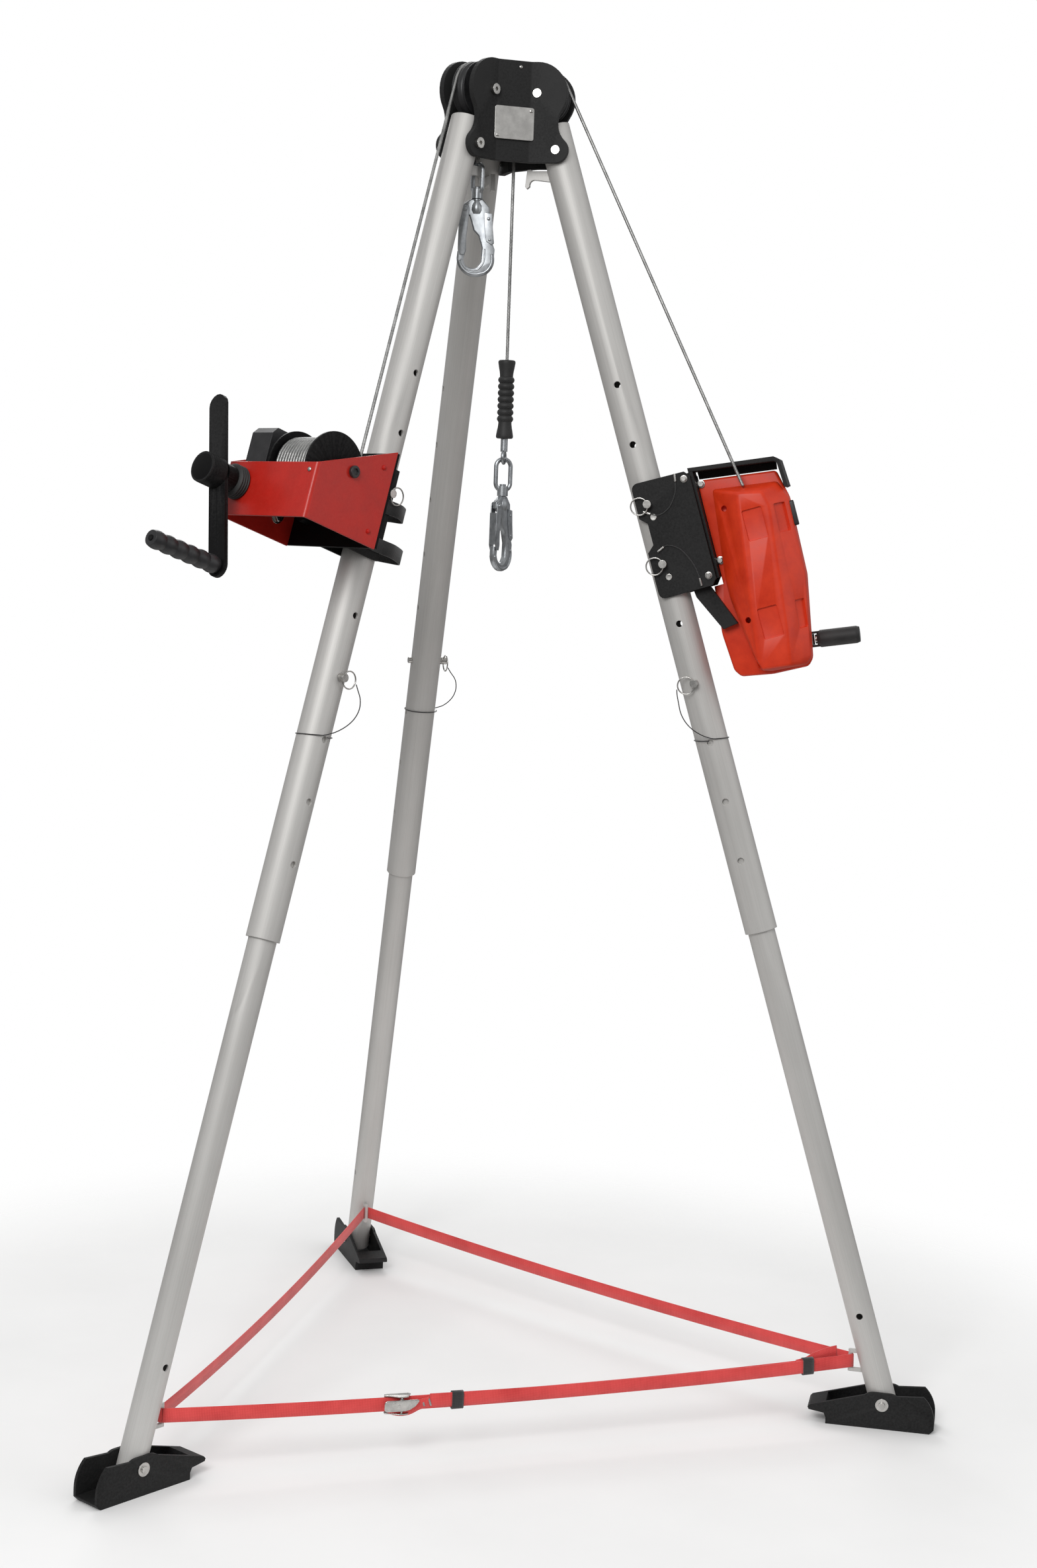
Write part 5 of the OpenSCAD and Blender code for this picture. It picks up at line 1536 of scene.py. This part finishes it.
@dataclass
class StrapDetails:
    """Cam buckle, keepers, tail and stitching on the strap's front run."""

    strap: FootStrap
    buckle_at: float = 0.32
    keepers_at: Pair = (0.405, 0.93)
    pivot_x: float = 6.0
    pivot_y: float = -8.5
    keeper_t: float = 1.8
    keeper_w: float = 21.0
    turned_end: Route = ((-15, -3.6, -5), (-6, -6.2, -9), (8, -7.2, -11), (22, -6.6, -9), (38, -4.4, -3),
                         (58, -3.4, 1))
    free_end: Route = ((-0.016, 2.9, 2), (0.0, 3.6, 5), (0.014, 6.0, 11), (0.034, 9.0, 16),
                       (0.050, 10.0, 18))
    stitches: Pair = (46.0, 58.0)

    @property
    def half(self) -> float:
        """Half the length of the front run."""
        return self.strap.eye_r * math.cos(math.radians(30))

    def place(self, f: float) -> Matrix:
        """Frame on the run at a share of its length: x along it, y away from the camera, z up."""
        sag = self.strap.sag[0]
        y = -self.strap.eye_r * 0.5 - self.strap.eye_bar / 2 - self.strap.gap - PLAN.web_t / 2
        tilt = math.atan(2 * sag * (1 - 2 * f) / self.half)
        at = Vector((self.half * (2 * f - 1), y, self.strap.eye_z - 4 * sag * f * (1 - f))) * MM
        return Matrix.Translation(at) @ Matrix.Rotation(tilt, 4, "Y")

    def on_run(self, f: float, x: float, y: float, z: float) -> Vector:
        """Point near the run, in metres."""
        return self.place(f) @ (Vector((x, y, z)) * MM)

    def ribbon(self, name: str, points: Sequence[Vector], width: float, hardware: Hardware,
               coat: Coat) -> Piece:
        """Flat band along a route, standing on edge."""
        t, w = PLAN.web_t * MM / 2, width * MM / 2
        flat = band(t, w, 0.0006)
        return hardware.fix(sweep(name, even(rounded(list(points), 6), 0.003), lambda _i, _d: flat,
                                  Vector((0, 0, 1))), coat, "head")

    def buckle(self, hardware: Hardware) -> None:
        """Folded frame with the lever that clamps the webbing."""
        here = self.place(self.buckle_at)
        upright = Matrix.Rotation(math.pi / 2, 4, "X")
        base = cast("buckle_base", round_rect(46, PLAN.web_w + 9, 4), 2.2, 0.8,
                    here @ Matrix.Translation((0, 3.6 * MM, 0)) @ upright)
        hardware.fix(base, Coat.ZINC, "head")
        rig.replaces(base, "cam_buckle")
        cheek = [(-23, 4), (22, 4), (24, 0), (17, -12), (9, -14), (0, -12.5), (-14, -5), (-23, -3)]
        for side in (-1, 1):
            edge = here @ Matrix.Translation((0, 0, side * (PLAN.web_w / 2 + 3.2) * MM))
            hardware.fix(cast(f"buckle_cheek_{'low' if side < 0 else 'top'}", cheek, 2.4, 0.8, edge),
                         Coat.ZINC, "head")
        hinge = here @ Matrix.Translation((self.pivot_x * MM, self.pivot_y * MM, 0))
        lever = [(-32, 4), *arc(-26, 4, 6, 180, 90, 6), (24, 10), *arc(27, 6, 4, 90, 10, 4), (24, -2),
                 (14, -8), (6, -10), (-24, -10), *arc(-26, -4, 6, 250, 180, 6)]
        plate = cast("buckle_lever", lever, 2.6, 1.0,
                     hinge @ Matrix.Translation((0, -4.2 * MM, 0)) @ upright)
        hardware.fix(plate, Coat.ZINC, "cam_lever")
        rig.replaces(plate, "cam_lever")
        roll = [Ring(-16, 1.6), Ring(-15.6, 2.0), Ring(15.6, 2.0), Ring(16, 1.6)]
        hardware.fix(turned("buckle_hinge_pin", roll, hinge, 20), Coat.ZINC, "cam_lever")
        cam = [Ring(-11, 3.6), Ring(-10.6, 4.2),
               *(Ring(z + k, 4.2 - 0.5 * (k > 0.6)) for z in range(-10, 10, 2) for k in (0.0, 0.7, 1.3)),
               Ring(10.6, 4.2), Ring(11, 3.6)]
        hardware.fix(turned("buckle_cam", cam, hinge, 20), Coat.ZINC, "cam_lever")
        spot = hinge @ (Vector((-6, -5.5, 1)) * MM)
        hardware.dome("buckle_rivet", axis_matrix(spot, hinge.to_3x3() @ Vector((0, -1, 0))), 4.0, 1.2,
                      Coat.ZINC, "cam_lever")

    def keeper(self, n: int, f: float, hardware: Hardware) -> None:
        """Black elastic band round the strap."""
        path = [self.on_run(f, 0, y, z) for y, z in round_rect(11.5, PLAN.web_w + 5.5, 4.5, 5)]
        path.append(path[0].copy())
        t, w = self.keeper_t * MM / 2, self.keeper_w * MM / 2
        elastic = [(-t, -w), (t, -w), (t, -w * 0.3), (t, w * 0.3), (t, w), (-t, w)]
        along = self.place(f).to_3x3() @ Vector((1, 0, 0))
        hardware.fix(sweep(f"strap_keeper_{n}", path, lambda _i, _d: elastic, along), Coat.BLACK_WEB,
                     "head")

    def build(self, hardware: Hardware) -> None:
        """Make the buckle and everything sewn or slid on the run."""
        self.buckle(hardware)
        for n, f in enumerate(self.keepers_at):
            self.keeper(n, f, hardware)
        b = self.buckle_at
        turn_back = [self.on_run(b, x, y, z) for x, y, z in self.turned_end]
        self.ribbon("strap_turn", turn_back, 19.0, hardware, Coat.RED_WEB)
        low, high = b + self.turned_end[-1][0] / (2 * self.half), self.keepers_at[1]
        tail = [self.on_run(low + (high - low) * i / 14, 0, -3.3, 3.4 * (1 - i / 14) ** 2)
                for i in range(15)]
        self.ribbon("strap_tail", tail, PLAN.web_w - 1.0, hardware, Coat.RED_WEB)
        flap = [self.on_run(high + d, 0, y, z) for d, y, z in self.free_end]
        self.ribbon("strap_end", flap, PLAN.web_w - 3.0, hardware, Coat.RED_WEB)
        for n, dx in enumerate(self.stitches):
            spot = self.place(b) @ Matrix.Translation((dx * MM, -5.0 * MM, 1 * MM))
            bar = spot @ Matrix.Rotation(math.radians(-18), 4, "Y") @ Matrix.Rotation(math.pi / 2, 4, "X")
            hardware.fix(cast(f"strap_stitch_{n}", round_rect(3.2, 15, 1.2), 0.8, 0.3, bar), Coat.ROPE,
                         "head")


@dataclass
class HeadDetails:
    """Bare rating plate and a small screw on the head."""

    panel_r: float = 66.0
    plate_w: float = 74.0
    plate_h: float = 58.0
    plate_up: float = 44.0
    stand_off: float = 3.4
    plate_t: float = 1.2
    rivets: Profile = ((31.0, 23.0), (-31.0, -23.0))
    top_screw: Pair = (10.0, 144.0)

    def build(self, hardware: Hardware) -> None:
        """Make the plate with its rivets, and the screw above it."""
        up = PLAN.hinge_z

        def front(u: float, z: float, off: float) -> Matrix:
            return axis_matrix(Vector((u, -(self.panel_r + off), up + z)) * MM, Vector((0, -1, 0)))

        plate = slab("rating_plate", round_rect(self.plate_w, self.plate_h, 4.0), self.plate_t, 0.3,
                     front(0, self.plate_up, self.stand_off))
        hardware.fix(plate, Coat.TUBE, "head")
        backing = slab("rating_plate_backing", round_rect(self.plate_w - 16, self.plate_h - 4, 4.0),
                       self.stand_off, 0.4, front(0, self.plate_up, 0.0))
        hardware.fix(backing, Coat.PLASTIC, "head")
        for i, (u, z) in enumerate(self.rivets):
            hardware.dome(f"plate_rivet_{i}", front(u, self.plate_up + z, self.stand_off + self.plate_t),
                          6.0, 1.8, Coat.ZINC, "head")
        hardware.dome("head_screw_top", front(*self.top_screw, 0.0), 6.5, 2.4, Coat.ZINC, "head")


@dataclass
class WinchDetails:
    """Screws, shaft caps, ribbed seal, crank cap and webbing loops of the hoist winch."""

    frame_x: float = 72.0
    frame_len: float = 172.0
    half_w: float = 111.0
    top: float = -609.0
    drum_x: float = 162.0
    drum_z: float = -676.0
    worm_y: float = -70.0
    worm_z: float = -728.0
    saddle_out: float = 35.5
    frame_screws: Profile = ((-96, -92), (96, -92), (-96, -160))
    side_screws: Profile = ((24, -36), (24, -150))
    rear_nut: Pair = (40, -134)
    seal_ribs: int = 4
    rib_pitch: float = 5.0
    cap_off: float = 53.0
    loops_at: Profile = ((-72.5, 22.0), (-143.5, 40.0))

    def build(self, hardware: Hardware) -> None:
        """Make each detail on the body that carries it."""
        out = self.frame_x + self.frame_len
        leg = Leg.LEFT
        turn = PLAN.leg_matrix(leg).to_3x3()
        x_axis, y_axis = turn @ Vector((1, 0, 0)), turn @ Vector((0, 1, 0))

        def at(x: float, y: float, z: float, along: Vector) -> Matrix:
            return axis_matrix(PLAN.leg(leg, x, y, z), along)

        for i, (y, z) in enumerate(self.frame_screws):
            hardware.dome(f"frame_screw_{i}", at(out, y, self.top + z, x_axis), 8.0, 3.0, Coat.ZINC,
                          "leg_left")
        for i, (x, z) in enumerate(self.side_screws):
            for side in (-1, 1):
                spot = at(self.frame_x + x, side * self.half_w, self.top + z, y_axis * side)
                hardware.dome(f"side_screw_{i}_{'rear' if side < 0 else 'front'}", spot, 9.0, 3.0, Coat.RED,
                              "leg_left")
        x, z = self.rear_nut
        spot = at(self.frame_x + x, -self.half_w + 4, self.top + z, y_axis)
        hardware.hex_head("rear_nut", spot, 16.0, 9.0, Coat.ZINC, "leg_left")
        for side in (-1, 1):
            name = "rear" if side < 0 else "front"
            spot = at(self.drum_x, side * (self.half_w + 1.6), self.drum_z, y_axis * side)
            hardware.socket(f"drum_shaft_cap_{name}", spot, 21.0, 5.0, Coat.PLASTIC, "drum")
        seal = [Ring(0.3, 24.0)]
        for i in range(self.seal_ribs):
            z = self.rib_pitch * i
            seal += [Ring(1.0 + z, 27.5), Ring(3.0 + z, 29.5), Ring(4.6 + z, 27.5)]
        seal.append(Ring(22.0, 23.4))
        hardware.fix(turned("crank_seal", seal, at(out + 0.8, self.worm_y, self.worm_z, x_axis), 48),
                     Coat.RUBBER, "crank")
        cap = [Ring(0, 26.0), Ring(0.2, 27.4), Ring(30, 27.4), Ring(33, 26.0), Ring(34.2, 23.0),
               Ring(34.4, 3.0)]
        hardware.fix(turned("crank_cap", cap, at(out + self.cap_off, self.worm_y, self.worm_z, x_axis), 56),
                     Coat.BLACK, "crank")
        self.loops(hardware)

    def loops(self, hardware: Hardware) -> None:
        """Webbing loops behind the leg, with slack that stands off the tube."""
        for n, (z, slack) in enumerate(self.loops_at):
            y = self.saddle_out + 0.4 + PLAN.web_t / 2
            side = [(18, y), (0, y), (-14, y + 0.5)]
            bow = [(-26 - slack * 0.4, y + 3), (-38 - slack, 24), (-34 - slack * 0.9, 2),
                   (-36 - slack * 0.5, -18), (-26, -y + 4)]
            back = [(-14, -y - 0.5), (0, -y), (18, -y)]
            points = [PLAN.leg(Leg.LEFT, x, v, self.top + z) for x, v in (*side, *bow, *back)]
            path = even(rounded(points, 6), 0.004)
            t, w = PLAN.web_t * MM / 2, PLAN.web_w * MM / 2
            flat = [(-t, -w), (t, -w), (t, 0), (t, w), (-t, w), (-t, 0)]
            loop = sweep(f"saddle_loop_{n}", path, lambda _i, _d: flat,
                         PLAN.leg_matrix(Leg.LEFT).to_3x3() @ Vector((0, 0, 1)))
            hardware.fix(loop, Coat.BLACK_WEB, "leg_left")
            if n == 0:
                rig.replaces(loop, "winch_straps")


@dataclass
class ArresterDetails:
    """Bolts, rivets, pin tethers, bracket edge, grip boss and latch tab of the fall arrester."""

    plate_y: float = -35.5
    tether_r: float = 0.9
    crank_at: Triple = (150.0, 64.0, -963.0)
    crank_slope: float = 8.0
    crank_reach: float = 66.0
    rivets: Profile = ((4, -684), (4, -796))
    bolts: Profile = ((75, -632), (75, -812))
    channel_bolts: Profile = ((98.5, -647), (98, -790))
    edge_at: Triple = (90.7, 12.0, -724.0)
    tab_at: Triple = (245.0, -11.0, -742.0)
    tethers: tuple[Profile, ...] = (
        ((-6, -673), (14, -683), (36, -675), (52, -655), (58, -638), (60, -625)),
        ((2, -744), (16, -740), (36, -752), (50, -776), (57, -800), (58, -820)))

    def build(self, hardware: Hardware) -> None:
        """Make each detail on the right leg."""
        leg = Leg.RIGHT
        turn = PLAN.leg_matrix(leg).to_3x3()
        x_axis, y_axis = turn @ Vector((1, 0, 0)), turn @ Vector((0, 1, 0))

        def at(x: float, y: float, z: float, along: Vector) -> Matrix:
            return axis_matrix(PLAN.leg(leg, x, y, z), along)

        for i, (x, z) in enumerate(self.rivets):
            hardware.disc(f"bracket_rivet_{i}", at(x, self.plate_y, z, -y_axis), 12.0, 1.6, Coat.ZINC,
                          leg.body)
        for i, (x, z) in enumerate(self.bolts):
            hardware.hex_head(f"bracket_bolt_{i}", at(x, self.plate_y, z, -y_axis), 9.0, 6.0, Coat.ZINC,
                              leg.body)
        for i, (x, z) in enumerate(self.channel_bolts):
            hardware.hex_head(f"channel_bolt_{i}", at(x, 0.2, z, -y_axis), 10.0, 8.0, Coat.ZINC, leg.body)
        for n, route in enumerate(self.tethers):
            path = even(rounded([PLAN.leg(leg, x, self.plate_y - 1.6, z) for x, z in route], 8), 0.002)
            r = self.tether_r * MM
            wire = sweep(f"pin_tether_{n}", path, lambda _i, _d: circle(r, 8), y_axis)
            hardware.fix(wire, Coat.BLACK_WEB, leg.body)
            for m, (a, b) in enumerate(((path[-1], path[-5]), (path[0], path[4]))):
                sleeve = [Ring(-8, 1.4), Ring(-7.5, 2.3), Ring(6.5, 2.3), Ring(7, 1.4)]
                hardware.fix(turned(f"tether_sleeve_{n}_{m}", sleeve, axis_matrix(a, a - b), 16), Coat.ZINC,
                             leg.body)
        edge = axis_matrix(PLAN.leg(leg, *self.edge_at), y_axis, turn @ Vector((0, 0, 1)))
        hardware.fix(cast("bracket_edge", round_rect(5.4, 190, 1.0), 24.0, 0.5, edge), Coat.BLACK, leg.body)
        slope = math.radians(self.crank_slope)
        along = Vector((math.cos(slope), 0, -math.sin(slope)))
        pivot = Vector(self.crank_at) + along * self.crank_reach
        boss = [Ring(8.0, 5.0), Ring(8.4, 8.4), Ring(20.0, 8.4), Ring(20.6, 7.6), Ring(24.0, 7.6)]
        hardware.fix(turned("grip_boss", boss, at(*pivot, turn @ along), 32), Coat.ZINC, "arrester_grip")
        tab = slab("latch_tab", round_rect(12, 46, 4), 9.0, 1.2, at(*self.tab_at, x_axis))
        hardware.fix(tab, Coat.PLASTIC, leg.body)


def snap_hooks(bumper: Bumper) -> tuple[SnapHook, SnapHook]:
    """Parked winch hook and hanging arrester hook, at their places.

    Args:
        bumper: The bumper that the arrester's hook hangs below.

    Returns:
        Both hooks, not built yet.
    """
    parked_drop, hanging_drop = 58.4, 106.3
    parked_turn, hanging_turn = 133.0, 73.0
    parked = PLAN.plane(Leg.LEFT, PLAN.park_r, 0, PLAN.hinge_z + PLAN.park_z - parked_drop)
    hanging = PLAN.plane(Leg.RIGHT, PLAN.axle_r - PLAN.wrap_r, PLAN.groove_y,
                         bumper.top - bumper.length - hanging_drop)
    return (SnapHook("winch", parked, Leg.LEFT.value + parked_turn),
            SnapHook("arrester", hanging, Leg.RIGHT.value + hanging_turn))


def main() -> None:
    """Build the scene in order and log the counts of small hardware and pieces."""
    logging.basicConfig(level=logging.INFO, format="%(message)s")
    bpy.context.scene.view_settings.view_transform = "Standard"
    Studio().build()
    finishes = Finishes()
    Carried(finishes).dress()
    hardware = Hardware(finishes)
    bumper = Bumper()
    Cables().build(finishes, bumper.build(hardware))
    Lanyards().build(finishes)
    strap = FootStrap()
    strap.build(finishes)
    StrapDetails(strap).build(hardware)
    for hook in snap_hooks(bumper):
        hook.build(hardware)
    ArresterShells().build(hardware)
    HeadDetails().build(hardware)
    WinchDetails().build(hardware)
    ArresterDetails().build(hardware)
    LOG.info("small hardware: %d", hardware.count)
    LOG.info("pieces: %d", len(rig.pieces()))
    with open("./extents.json", "w", encoding="utf-8") as out:
        json.dump({"cad": [list(p) for p in CAD_BOX], "visual": [list(p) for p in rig.bounds()]}, out)


if __name__ == "__main__":
    main()
